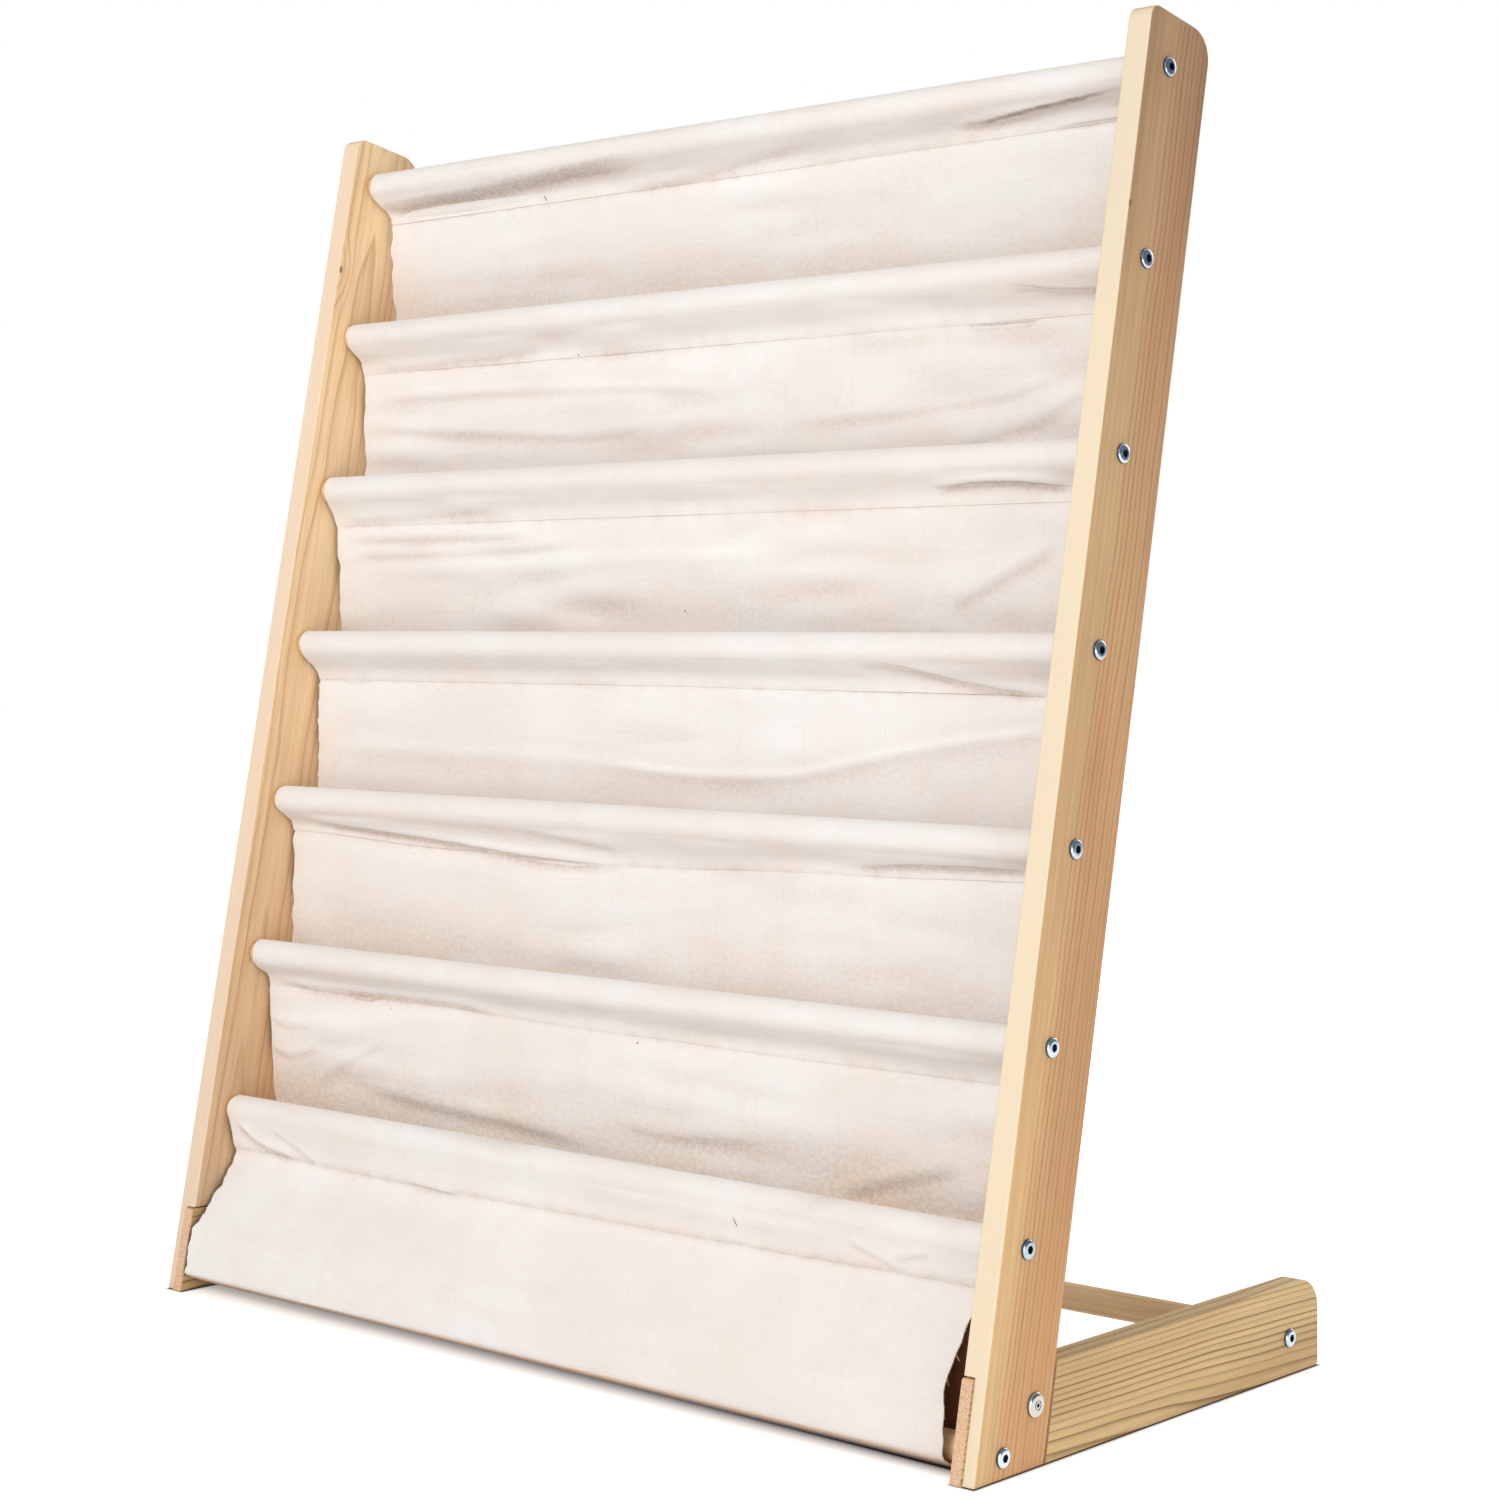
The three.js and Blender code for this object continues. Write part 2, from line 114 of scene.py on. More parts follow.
# Cloth: seam places are given from the axis of the dowel above the seam
CLOTH_THICKNESS = 0.0008
CLOTH_SIDE_GAP = 0.004
LAYER_STEP = 0.0016
SEAM_TUCK = 0.003
SEAM_BEND = 0.007
SEAM_BACKS = [0.012, 0.008, 0.004, 0.009, 0.008, 0.008, -0.005]
PANEL_SWINGS = [0.007, 0.002, 0.006, -0.004, -0.003, 0.005]
POCKET_DEPTH = 0.080
POCKET_TURN = 0.009
RISER_SLACK = 0.002
HEM_LENGTH = 0.012
SKIRT_KNEE_HEIGHT = 0.045
SKIRT_KNEE_BACK = 0.012
SKIRT_SEAM_HEIGHT = 0.094
SKIRT_HEM_HEIGHT = 0.105
SKIRT_FRONT_BACK = 0.006
SKIRT_TOE_HEIGHTS = (0.0135, 0.0090)
SKIRT_TWIST = 0.005
SKIRT_TURN_LENGTH = 0.125
SKIRT_HEM_OUT = 0.003
SKIRT_STEP_SHARES = [(0, 0.12), (0.26, 0.38), (0.6, 0.68)]

# How far the skirt's right-hand edge is drawn in, by height
SKIRT_EDGE_HEIGHTS = (0.008, 0.022, 0.042, 0.050, 0.060, 0.078, 0.100, 0.112, 0.124)
SKIRT_EDGE_IN = (0.0090, 0.0095, 0.0145, 0.0165, 0.0170, 0.0160, 0.0140, 0.0060, 0.0)

# How far each seam hangs below its dowel's axis, from the left end to the right end
SEAM_DROPS = MM * np.array([
    (29, 29, 29, 28, 27),
    (29, 30, 30, 31, 31),
    (29, 29, 29, 29, 29),
    (28, 28, 28, 29, 30),
    (25, 31, 33, 28, 24),
    (25, 26, 28, 29, 29),
    (30, 32, 31, 30, 28),
])

# Wide folds of the cloth below each dowel: where across the width, how wide, how the fold runs to the side
# on its way down, and how far it stands to the front in millimetres
BILLOWS = [
    [(-0.3, 0.2, 0.1, 3), (0.24, 0.22, 0, -2.4)],
    [(-0.12, 0.24, -0.2, 2.2), (0.36, 0.14, 0, -2)],
    [(0.05, 0.26, 0.25, 3.6), (-0.38, 0.14, 0, -2)],
    [(0.26, 0.13, -0.5, 4.2), (-0.2, 0.24, 0, 2)],
    [(-0.3, 0.18, 0.3, 3.4), (0.2, 0.24, 0, -2.2)],
    [(-0.36, 0.15, 0.25, 3.8), (0.12, 0.26, 0, 2.4)],
    [(-0.1, 0.3, 0, 2.4), (0.4, 0.12, 0.2, -2)],
]
BILLOW_MARGIN_SHARE = 0.13

# Creases, in millimetres: which dowel they lie below, how dark the sharp line of painted shade in them is,
# the line they follow as (across, below the axis), how far the cloth stands out just above it, how far it
# dips just below it, how wide that is, and half the painted line's width where there is one
CREASES = [
    (0, 0.9, [(215, 17.5), (259, 16.5), (294, 14), (323, 12.5), (366, 10)], 2.2, 2.6, 5.5, 1.6),
    (0, 0.45, [(300, 26.2), (372, 25)], 0.8, 1.2, 3, 1.1),
    (0, 0.5, [(-400, 16.5), (-272, 15), (-181, 11.5), (-60, 6)], 3, 6.6, 14, 6),
    (0, 0, [(-110, 27), (-45, 25), (40, 17), (100, 12)], 1.4, 1.8, 10),
    (1, 0.6, [(246, 32), (277, 32.6), (312, 32.4)], 1, 2.2, 4, 1.2),
    (1, 0.3, [(292, 8), (330, 14), (372, 17)], 1.2, 1.8, 7, 1.2),
    (1, 0, [(-376, 26), (-250, 24), (-150, 20)], 1.4, 1.8, 9),
    (1, 0, [(-376, 50), (-232, 51.3), (-83, 55.5), (40, 64)], 1.4, 1.6, 10),
    (1, 0, [(-376, 72), (-251, 82), (-127, 90), (-40, 85)], 1.2, 1.4, 10),
    (1, 0, [(90, 89), (207, 86.6), (293, 77.6), (350, 60)], 1, 1.2, 11),
    (1, 0, [(225, 114), (300, 100), (350, 80)], 0.9, 1.1, 9),
    (2, 0.6, [(242, 17), (293, 14.3), (322, 15.6), (366, 20.5)], 2.6, 3.4, 7, 1.3),
    (2, 0, [(-376, 24), (-280, 22.5), (-180, 18)], 1.4, 1.8, 9),
    (2, 0, [(-376, 39.5), (-277, 39.6), (-130, 40)], 1.2, 1.6, 8),
    (2, 0, [(-376, 52), (-242, 52), (-80, 47.5)], 1.2, 1.6, 9),
    (2, 0, [(250, 98), (297, 79), (350, 55)], 1.4, 1.6, 11),
    (3, 0.3, [(190, 2), (249, 13.3), (286, 21.5), (316, 26.2), (364, 30)], 2.2, 2.8, 10, 1.2),
    (4, 0.5, [(-376, 14), (-283, 20), (-199, 25), (-92, 32.5), (4, 35)], 3.6, 4, 9, 1.2),
    (4, 0, [(-209, 4), (-127, 6), (-69, 13.6), (12, 22)], 1.6, 2, 10),
    (4, 0.4, [(204, 22), (268, 17.5), (314, 16.5), (372, 16.5)], 2, 2.6, 8, 1.2),
    (5, 0, [(-376, 19), (-319, 23.5), (-227, 22), (-158, 21.9), (-100, 25.8)], 2.6, 3, 9),
    (5, 0, [(-380, 50), (-360, 56), (-325, 53)], 0.9, 1.3, 5),
    (5, 0, [(-380, 74.5), (-356, 80), (-318, 70)], 1, 1.4, 6),
    (5, 0, [(-335, 106), (-300, 86), (-240, 58)], 0.8, 1, 6),
    (5, 0.2, [(-270, 96), (-193, 103), (-115, 106), (-10, 113)], 1.2, 1.5, 11, 11),
    (5, 0, [(10, 93), (65, 96), (150, 89)], 0.7, 0.9, 9),
    (5, 0.15, [(215, 118), (260, 104), (325, 86)], 1.2, 1.4, 13, 10),
    (6, 0.3, [(-372, 7), (-344, 23), (-300, 30)], 2, 2.8, 8, 1.2),
    (6, 0, [(-325, 9), (-300, 20), (-275, 30)], 1, 1.4, 6),
    (6, 0, [(262, 12), (288, 21), (304, 26)], 1.2, 1.6, 5),
    (6, 0, [(295, 21), (330, 11)], 1, 1.4, 5),
    (6, 0.4, [(-172, 30.5), (-145, 33), (-112, 34)], 1.2, 1.8, 5, 1.2),
]

# Raised lines, in millimetres: as above, with their height and width
RIDGES = [
    (3, [(-60, 83.8), (20, 89), (78, 89.5), (143, 86), (223, 70), (287, 60), (376, 49)], 1.8, 3),
    (3, [(-376, 80.5), (-200, 80.5), (-63, 83.8), (30, 88.5)], 1, 6),
    (2, [(-376, 64), (-197, 62.4), (-19, 57.5), (160, 57.8)], 1, 6),
    (6, [(0, 5), (100, 7.5), (250, 8)], 0.8, 6),
]

# How sharply a crease turns, as a share of its width, how it falls off beside its line, how many widths above
# it the cloth still moves, and how quickly creases and ridges rise from their two ends
CREASE_SHARPNESS = 0.24
CREASE_FALL = 1.3
CREASE_REACHES = 5
CREASE_ENDS = (6, 5)
RIDGE_ENDS = (6, 8)

# How far the sharp painted shade line in a crease wavers
LINE_WAVER = 0.0016

# Dark flecks in the cloth: place across, height, slant in radians and half length
FLECKS = [
    (-0.195, 0.8535, -0.5, 0.0030),
    (-0.127, 0.7248, 0.9, 0.0011),
    (0.010, 0.5294, 0.0, 0.0013),
    (0.033, 0.2250, 0.9, 0.0013),
    (0.164, 0.1226, -0.2, 0.0040),
]
FLECK_HALF_WIDTH = 0.0007

# How rumpled the cloth below each dowel is, and how it is drawn in at its seams and calm near the floor
RUMPLES = [0.35, 0.8, 0.75, 0.3, 0.45, 0.8, 0.2]
RUMPLE_HEIGHT = 0.000378
RUMPLE_WAVES = 22
RUMPLE_UP = (0.020, 0.07)
RUMPLE_ACROSS = (0.12, 0.7)
RUMPLE_PATCHES = (19, 31)
PUCKER_HEIGHT = 0.00012
PUCKER_REACH = 0.008
PUCKER_WAVES = (0.020, 0.080)
SEAM_GROOVES = [0.0007, 0.0004, 0.0004, 0.0005, 0.0004, 0.0004, 0.0013]
SEAM_GROOVE_WIDTH = 0.0032
CALM_HEIGHT = 0.028
CALM_FADE = 0.02

# The raw side edges: how far they wander on the left, what share of it they do on the right, and their fray
EDGE_WAVE = 0.000495
SKIRT_EDGE_WAVE = 0.000765
RIGHT_EDGE_SHARE = 0.6
EDGE_REACH = 0.012
EDGE_WAVES = (0.006, 0.075)
FRAY_PITCH = 0.0045
FRAY_REACHES = (0.0008, 0.0012, 0.0016, 0.0026)
FRAY_RADIUS = 0.0002
FRAY_ROOT = 0.0006
LONG_THREADS = 3
LONG_THREAD_REACHES = (0.004, 0.011)
LONG_THREAD_WAVE = 0.0022

# Where in their turn random waves start, in radians
STARTS = (0, 6.3)

# A direction that no thread runs along, from which its sides are set out
STRAND_SIDE = (0.31, 0.17, 0.93)

# Painted shade in valleys and painted highlight on ridges: how deep a full valley is, how far slopes that
# face down count as a valley of painted shade where the cloth is free, and how much of it shows on the
# cloth's back
RELIEF_DEPTH = 0.0014
RELIEF_PASSES = 12
RELIEF_RANGE = (-1.8, 1)
RECEDING_SHADE = 0.9
RECEDING_RANGE = (-0.2, 0.4)
FREE_FROM = 0.02
BACK_RELIEF = 0.4

# Painted shade: how much warm painted shade each panel gets towards the sleeve in front of it, from which
# share of its height, the painted warm shade on the skirt's underside, and the painted dark shade inside the
# tube it makes, on faces that look to the front
SHELTER_SHADES = [0.55, 0.1, 0.3, 0.2, 0.45, 0.9, 0]
SHELTER_FROM = 0.5
UNDERSIDE_FADE = 0.0020
SHADE_FROM = 0.24
SHADE_FADE = 0.06
FACING_FRONT = -0.05

# Weave and stitches
WEAVE_PITCH = 0.00085
STITCH_PITCH = 0.0030
STITCH_LENGTH = 0.0027
STITCH_RADIUS = 0.00011
STITCH_SHAPE = ((0, -1.6), (0.12, -0.2), (0.5, 0.3), (0.88, -0.2), (1, -1.6))

# Steps of the cloth's mesh: across it, along what shows and along what is hidden
COLUMN_STEP = 0.0035
SHOWN_STEP = 0.0025
HIDDEN_STEP = 0.006

# How quickly a stretch that is held at one end comes free of its line
RELEASES = {"rear": 4, "wrap": 4, "front": 3.5, "front_low": 1.6}

# How many steps the cloth's curves have
PANEL_STEPS = 60
TURN_STEPS = 24
ARC_STEPS = 48
CURVE_STEPS = 10
FOLD_STEPS = 8

# Simulation: its mesh's step, how far a place may settle, and how that dies out above the skirt's hem
SETTLE_STEP = 0.010
SETTLE_FRAMES = 24
SETTLE_CAP = 0.0022
SETTLE_PASSES = 14
SETTLE_MARGIN = 0.03
SETTLE_FADE = 0.012
LOOSEST = 0.93
CLOTH_SETTINGS = {
    "vertex_group_mass": "hold",
    "pin_stiffness": 0.6,
    "quality": 8,
    "mass": 0.25,
    "tension_stiffness": 60,
    "compression_stiffness": 60,
    "shear_stiffness": 30,
    "bending_stiffness": 0.6,
    "air_damping": 2,
    "shrink_min": -0.006,
    "shrink_max": -0.006,
}

# Camera, fitted to the photograph, whose frame is 1500 by 1500 pixels
PHOTO_SIZE = 1500
CAMERA_PLACE = Vector((1.478286, -1.574657, 0.530301))
CAMERA_YAW = 0.73788107
CAMERA_PITCH = -0.0295719
CAMERA_ROLL = -0.00479199
FOCAL_PIXELS = 2929.187
CENTRE_PIXEL = (752.5755, 696.0417)
SENSOR = 36

# Floor, with a painted shadow where the skirt and feet nearly touch it, and the cards that the metal reflects
FLOOR = 12
FLOOR_GAP = 0.0002
SKIRT_SHADOW_Y = (-0.150, -0.170)
SKIRT_SHADOW_REACH = (0.060, 0.024)
FOOT_SHADOW_REACH = 0.005
CARD_X = 2.6
CARD_Y = (-1.2, 5)
CARD_Z = (0.02, 4.5)

# Lamps: name, place, target, power, size and tint
LAMPS = [
    ("key", (0.1, -3.2, 2.2), (0, -0.1, 0.45), 57, 1.5, (1.0, 0.995, 0.99)),
    ("back", (0.3, 3.2, 1.6), (0, 0.1, 0.4), 24, 1.6, (1.0, 0.995, 0.99)),
    ("side", (1.9, -0.5, 0.20), (0.4, 0.0, 0.05), 9, 0.8, (1.0, 0.985, 0.96)),
]
ROOM_LIGHT = 0.54


def middle(node):
    """The middle of a node seen from the side, as (y, z)."""
    low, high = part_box(node)
    return np.array([(low.y + high.y) / 2, (low.z + high.z) / 2])


def node_radius(node):
    low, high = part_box(node)
    return (high.z - low.z) / 2


INNER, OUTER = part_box("right_upright")[0].x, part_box("right_upright")[1].x
FRONT_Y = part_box("right_upright")[0].y
FOOT_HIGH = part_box("right_foot")[1]
LAP_PLANE = (INNER + OUTER) / 2
POCKET_COUNT = len(PANEL_SWINGS)
DOWELS = [middle(f"pocket_dowel_{i + 1}") for i in range(POCKET_COUNT + 1)] + [middle("bottom_dowel")]
AXIS_HEIGHTS = np.array([axis[1] for axis in DOWELS])
REAR_DOWEL = middle("rear_dowel")
LAP_BOLT = middle("right_lap_bolt")
DOWEL_RADIUS = node_radius("rear_dowel")
LEAN = math.atan2(*(DOWELS[0] - DOWELS[-1]))
HALF_WIDTH = INNER - CLOTH_SIDE_GAP
SLEEVE_RADIUS = DOWEL_RADIUS + SEAT_GAP + CLOTH_THICKNESS / 2
HEAD_SEAT = OUTER + SEAT_GAP


def on_upright(up, behind):
    """A place on an upright's side, as (y, z), from its distance up the slope and behind the front edge."""
    return np.array([
        FRONT_Y + up * math.sin(LEAN) + behind * math.cos(LEAN),
        up * math.cos(LEAN) - behind * math.sin(LEAN),
    ])


def slope_y(behind, height):
    """The y, at a height, of a line that runs behind the front edge and parallel to it."""
    return FRONT_Y + height * math.tan(LEAN) + behind / math.cos(LEAN)


# Objects and meshes

def add_object(name, data):
    made = bpy.data.objects.new(name, data)
    bpy.context.scene.collection.objects.link(made)
    return made


def mesh_of(name, points, faces):
    mesh = bpy.data.meshes.new(name)
    mesh.from_pydata([tuple(map(float, p)) for p in points], [], faces)
    mesh.validate()
    mesh.update()
    return mesh


def solid(name, points, faces):
    """An object whose faces all look outwards."""
    mesh = mesh_of(name, points, faces)
    shape = bmesh.new()
    shape.from_mesh(mesh)
    bmesh.ops.recalc_face_normals(shape, faces=shape.faces)
    shape.to_mesh(mesh)
    shape.free()
    return add_object(name, mesh)


def modified(made, kind, **settings):
    """Puts the result of a modifier with these settings in the object's mesh."""
    modifier = made.modifiers.new(kind, kind)
    for key, value in settings.items():
        setattr(modifier, key, value)
    bpy.context.view_layer.update()
    evaluated = made.evaluated_get(bpy.context.evaluated_depsgraph_get())
    mesh = bpy.data.meshes.new_from_object(evaluated)
    made.modifiers.clear()
    made.data = mesh
    return made


def cut(made, tools):
    """Takes the tools away from the object, and removes them."""
    for tool in tools:
        modified(made, "BOOLEAN", operation="DIFFERENCE", solver="EXACT", object=tool)
        bpy.data.objects.remove(tool)


def smooth(made, degrees):
    """Shades the object smooth, apart from edges that turn more than this."""
    for polygon in made.data.polygons:
        polygon.use_smooth = True
    made.data.set_sharp_from_angle(angle=math.radians(degrees))


def finish_piece(made, nodes, materials):
    for material in materials:
        made.data.materials.append(material)
    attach(made, "root")
    if nodes:
        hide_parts(*nodes)
    return made


def rounded_outline(corners):
    """An outline from (point, radius) corners, with an arc at each corner that has a radius."""
    points = []
    for i, (corner, radius) in enumerate(corners):
        if not radius:
            points.append(np.array(corner))
            continue
        back = np.array(corners[i - 1][0]) - corner
        ahead = np.array(corners[(i + 1) % len(corners)][0]) - corner
        back, ahead = back / np.linalg.norm(back), ahead / np.linalg.norm(ahead)
        half = math.acos(np.clip(back @ ahead, -1, 1)) / 2
        centre = corner + (back + ahead) / np.linalg.norm(back + ahead) * radius / math.sin(half)
        ends = (corner + way * radius / math.tan(half) - centre for way in (back, ahead))
        first, last = (math.atan2(*end[::-1]) for end in ends)
        turn = (last - first + math.pi) % (2 * math.pi) - math.pi
        points.extend(arc(centre, radius, first, first + turn, CORNER_STEPS))
    return points


def arc(centre, radius, from_angle, to_angle, steps):
    angles = np.linspace(from_angle, to_angle, steps + 1)
    return centre + radius * np.stack([np.cos(angles), np.sin(angles)], axis=1)


def prism(name, outline, from_x, to_x):
    """A board that is seen from the side, between two X planes."""
    count = len(outline)
    points = [(x, y, z) for x in (from_x, to_x) for y, z in outline]
    return solid(name, points, [tuple(range(count)), tuple(range(count, 2 * count)),
                                *band(range(count), range(count, 2 * count))])


def band(near, far):
    """Faces between two closed rings of points, which are triangles where a ring is one point repeated."""
    after = [*range(1, len(near)), 0]
    return [tuple(dict.fromkeys((near[k], near[j], far[j], far[k]))) for k, j in enumerate(after)]


def turned(name, profile, axis, sides=48):
    """A body turned about a line along X, from (x, radius) pairs that start and end on the line."""
    points, rings = [], []
    for x, radius in profile:
        if radius == 0:
            rings.append([len(points)] * sides)
            points.append((x, *axis))
            continue
        rings.append(range(len(points), len(points) + sides))
        for k in range(sides):
            angle = 2 * math.pi * k / sides
            points.append((x, axis[0] + radius * math.cos(angle), axis[1] + radius * math.sin(angle)))
    return solid(name, points, [face for near, far in zip(rings, rings[1:]) for face in band(near, far)])


# Materials

class Nodes:
    """Adds nodes to the tree of a material or a world, each with its settings and its inputs."""

    def __init__(self, owner):
        owner.use_nodes = True
        self.owner = owner
        self.tree = owner.node_tree

    def add(self, kind, settings=None, **inputs):
        node = self.tree.nodes.new(kind)
        for key, value in (settings or {}).items():
            setattr(node, key, value)
        for key, value in inputs.items():
            numbered = key[0] == "i" and key[1:].isdigit()
            self.put(node, int(key[1:]) if numbered else key.replace("_", " "), value)
        return node

    def put(self, node, key, value):
        if isinstance(value, bpy.types.NodeSocket):
            self.tree.links.new(value, node.inputs[key])
        else:
            node.inputs[key].default_value = value

    def surfaced(self, **inputs):
        """The material, with these inputs of its surface."""
        for key, value in inputs.items():
            self.put(self.tree.nodes["Principled BSDF"], key.replace("_", " "), value)
        return self.owner

    def place(self, kind="Object"):
        return self.add("ShaderNodeTexCoord").outputs[kind]

    def split(self, vector):
        return self.add("ShaderNodeSeparateXYZ", Vector=vector).outputs

    def attribute(self, name):
        return self.add("ShaderNodeAttribute", {"attribute_name": name}).outputs["Fac"]

    def math(self, operation, first, second=0.0, clamp=False):
        settings = {"operation": operation, "use_clamp": clamp}
        return self.add("ShaderNodeMath", settings, i0=first, i1=second).outputs[0]

    def each(self, operation, first, *others):
        for other in others:
            first = self.math(operation, first, other)
        return first

    def total(self, *values):
        return self.each("ADD", *values)

    def product(self, *values):
        return self.each("MULTIPLY", *values)

    def most(self, *values):
        return self.each("MAXIMUM", *values)

    def less(self, value, by):
        return self.math("SUBTRACT", value, by)

    def between(self, value, low, high, to_low=0.0, to_high=1.0, smoothly=True):
        settings = {"interpolation_type": "SMOOTHSTEP" if smoothly else "LINEAR"}
        ends = {"From_Min": low, "From_Max": high, "To_Min": to_low, "To_Max": to_high}
        return self.add("ShaderNodeMapRange", settings, Value=value, **ends).outputs[0]

    def mix(self, share, first, second, blend="MIX"):
        settings = {"data_type": "RGBA", "blend_type": blend}
        return self.add("ShaderNodeMix", settings, i0=share, i6=first, i7=second).outputs[2]

    def layered(self, shade, *layers):
        """A colour with others over it, each given as its share and the colour's values on the screen."""
        for share, values in layers:
            shade = self.mix(share, shade, colour(*values))
        return shade

    def vector(self, operation, *values):
        node = self.add("ShaderNodeVectorMath", {"operation": operation})
        for key, value in enumerate(values):
            self.put(node, key, value)
        return node.outputs["Value" if operation in ("DOT_PRODUCT", "LENGTH", "DISTANCE") else "Vector"]

    def noise(self, vector, scale, detail=2.0, roughness=0.5):
        """Noise from 0 to 1, at a scale along each axis, in lumps a metre."""
        return self.add("ShaderNodeTexNoise", Vector=self.vector("MULTIPLY", vector, scale), Scale=1.0,
                        Detail=detail, Roughness=roughness).outputs["Fac"]

    def bump(self, height, distance, strength):
        return self.add("ShaderNodeBump", Height=height, Distance=distance, Strength=strength).outputs[0]

    def seen(self):
        """1 for what the camera sees, straight or in a reflection, and 0 for light that falls on things."""
        rays = self.add("ShaderNodeLightPath").outputs
        return self.most(rays["Is Camera Ray"], rays["Is Glossy Ray"], rays["Is Transmission Ray"])


def new_material(name):
    return Nodes(bpy.data.materials.new(name))


def colour(red, green, blue):
    """A colour from its 0 to 255 values on the screen."""
    linear = [c / 255 / 12.92 if c <= 10 else ((c / 255 + 0.055) / 1.055) ** 2.4 for c in (red, green, blue)]
    return (*linear, 1.0)


def late_wood(n, radius, spacing, facing):
    """How strongly the dark line of a ring shows, from the distance to the rings' middle."""
    phase = n.math("DIVIDE", radius, spacing)
    within = n.math("FRACT", phase)
    lone = n.add("ShaderNodeTexWhiteNoise", {"noise_dimensions": "1D"}, W=n.math("FLOOR", phase)).outputs[0]
    rise = n.math("POWER", n.between(within, 0.25, 0.9, smoothly=False), 3.2)
    fall = n.between(within, 0.93, 1.0, 1.0, 0.0)
    strength = n.between(lone, 0.0, 1.0, 0.35, 1.0, smoothly=False)
    return n.product(rise, fall, strength, n.between(facing, 0.1, 0.3, 1.0, 0.0))


def pine(name, origin, turn, centre, spacing, early, late, contrast, tilt, wobble, red=None, plain=None,
         front=None, knot=None, browner=None, slope=0.0):
    """Pine whose rings run round a line, in the board's own frame, where the last axis is along the grain.

    centre is where that line crosses the first two axes, and spacing the rings' width. red says where along
    the second axis the wood turns reddish, plain where the lines begin, and front is a paler colour painted
    as light on the faces that look to the front. The knot is a place in the board's frame and a radius.
    browner says between which places along the grain the wood is painted darker, as painted shade, and slope
    how the lines drift along the second axis.
    """
    n = new_material(name)
    normal = n.place("Normal")
    board_turn = Matrix.Rotation(turn[0], 3, "X") @ Matrix.Rotation(turn[1], 3, "Y")
    place = n.add("ShaderNodeMapping", {"vector_type": "TEXTURE"}, Vector=n.place(), Location=origin,
                  Rotation=turn).outputs[0]
    a, b, c = n.split(place)
    b = n.less(b, n.product(c, slope))
    facing = n.math("ABSOLUTE", n.vector("DOT_PRODUCT", normal, board_turn @ Vector((0, 0, 1))))

    drift = n.less(n.noise(place, (7, 7, 2.6), 3), 0.5)
    ripple = n.less(n.noise(place, (40, 40, 9), 2), 0.5)
    off_a = n.less(n.less(a, centre[0]), n.product(c, tilt))
    off_b = n.less(b, centre[1])
    radius = n.math("SQRT", n.total(n.product(off_a, off_a), n.product(off_b, off_b)))
    radius = n.total(radius, n.product(drift, wobble * 4), n.product(ripple, wobble * 0.5))
    if knot:
        knot_place, knot_radius = knot
        along_lines = n.add("ShaderNodeCombineXYZ", X=a, Y=b, Z=c).outputs[0]
        off_knot = n.vector("SUBTRACT", along_lines, knot_place)
        off_knot = n.vector("LENGTH", n.vector("MULTIPLY", off_knot, (1, 1, 0.5)))
        swell = n.between(off_knot, 0.0, knot_radius * 9, 1.0, 0.0)
        radius = n.total(radius, n.product(swell, knot_radius * 2.5))
    line = late_wood(n, radius, spacing, facing)
    if plain:
        line = n.product(line, n.between(b, *plain, 0.12, 1.0))

    fibres = n.noise(place, (1400, 1400, 22), 3, 0.6)
    streaks = n.noise(place, (260, 260, 5), 2, 0.6)
    tone = n.noise(place, (14, 14, 2.2), 3, 0.5)
    wood = n.mix(n.product(line, contrast), early, late)
    wood = n.mix(n.between(tone, 0.35, 0.7, 0.0, 0.35), wood, n.mix(0.5, early, late), "MULTIPLY")
    if red:
        warm = n.product(n.between(b, *red), n.between(streaks, 0.35, 0.65, 0.25, 0.75))
        wood = n.mix(warm, wood, n.mix(0.6, wood, colour(205, 140, 96)))
    # painted shade: the wood darkens between two places along the grain, towards the top of the right upright
    # and the bottom of the left
    if browner:
        grain_shade = n.between(n.total(c, n.between(tone, 0.3, 0.7, -0.15, 0.15)), *browner, smoothly=False)
        wood = n.mix(grain_shade, wood, colour(192, 182, 188), "MULTIPLY")
    shade = n.total(n.between(fibres, 0.25, 0.75, -0.09, 0.07), n.between(streaks, 0.25, 0.75, -0.07, 0.06),
                    1.0)
    grey = n.add("ShaderNodeCombineColor", Red=shade, Green=shade, Blue=shade).outputs[0]
    wood = n.mix(1.0, wood, grey, "MULTIPLY")
    # painted light: faces that look to the front get a paler colour
    if front:
        forward = n.vector("DOT_PRODUCT", normal, board_turn @ Vector((0, -1, 0)))
        wood = n.mix(n.between(forward, 0.3, 0.9, 0.0, 0.8), wood, front)
    if knot:
        wood = n.layered(wood, (n.between(off_knot, knot_radius * 0.5, knot_radius, 0.8, 0.0), (136, 88, 54)))

    end = n.between(facing, 0.5, 0.8)
    pores = n.noise(place, (900, 900, 900), 2, 0.7)
    end_wood = n.mix(n.between(pores, 0.35, 0.7, 0.0, 0.6), colour(236, 200, 166), colour(178, 128, 98))
    height = n.total(n.product(line, n.between(end, 0.0, 1.0, 0.4, 0.0)), n.product(fibres, 0.6),
                     n.product(end, pores, 2.0))
    return n.surfaced(
        Base_Color=n.mix(end, wood, end_wood),
        Roughness=n.total(n.between(line, 0.0, 1.0, 0.62, 0.5), n.product(end, 0.2)),
        Specular_IOR_Level=0.35,
        Normal=n.bump(height, 0.00012, 0.6),
    )


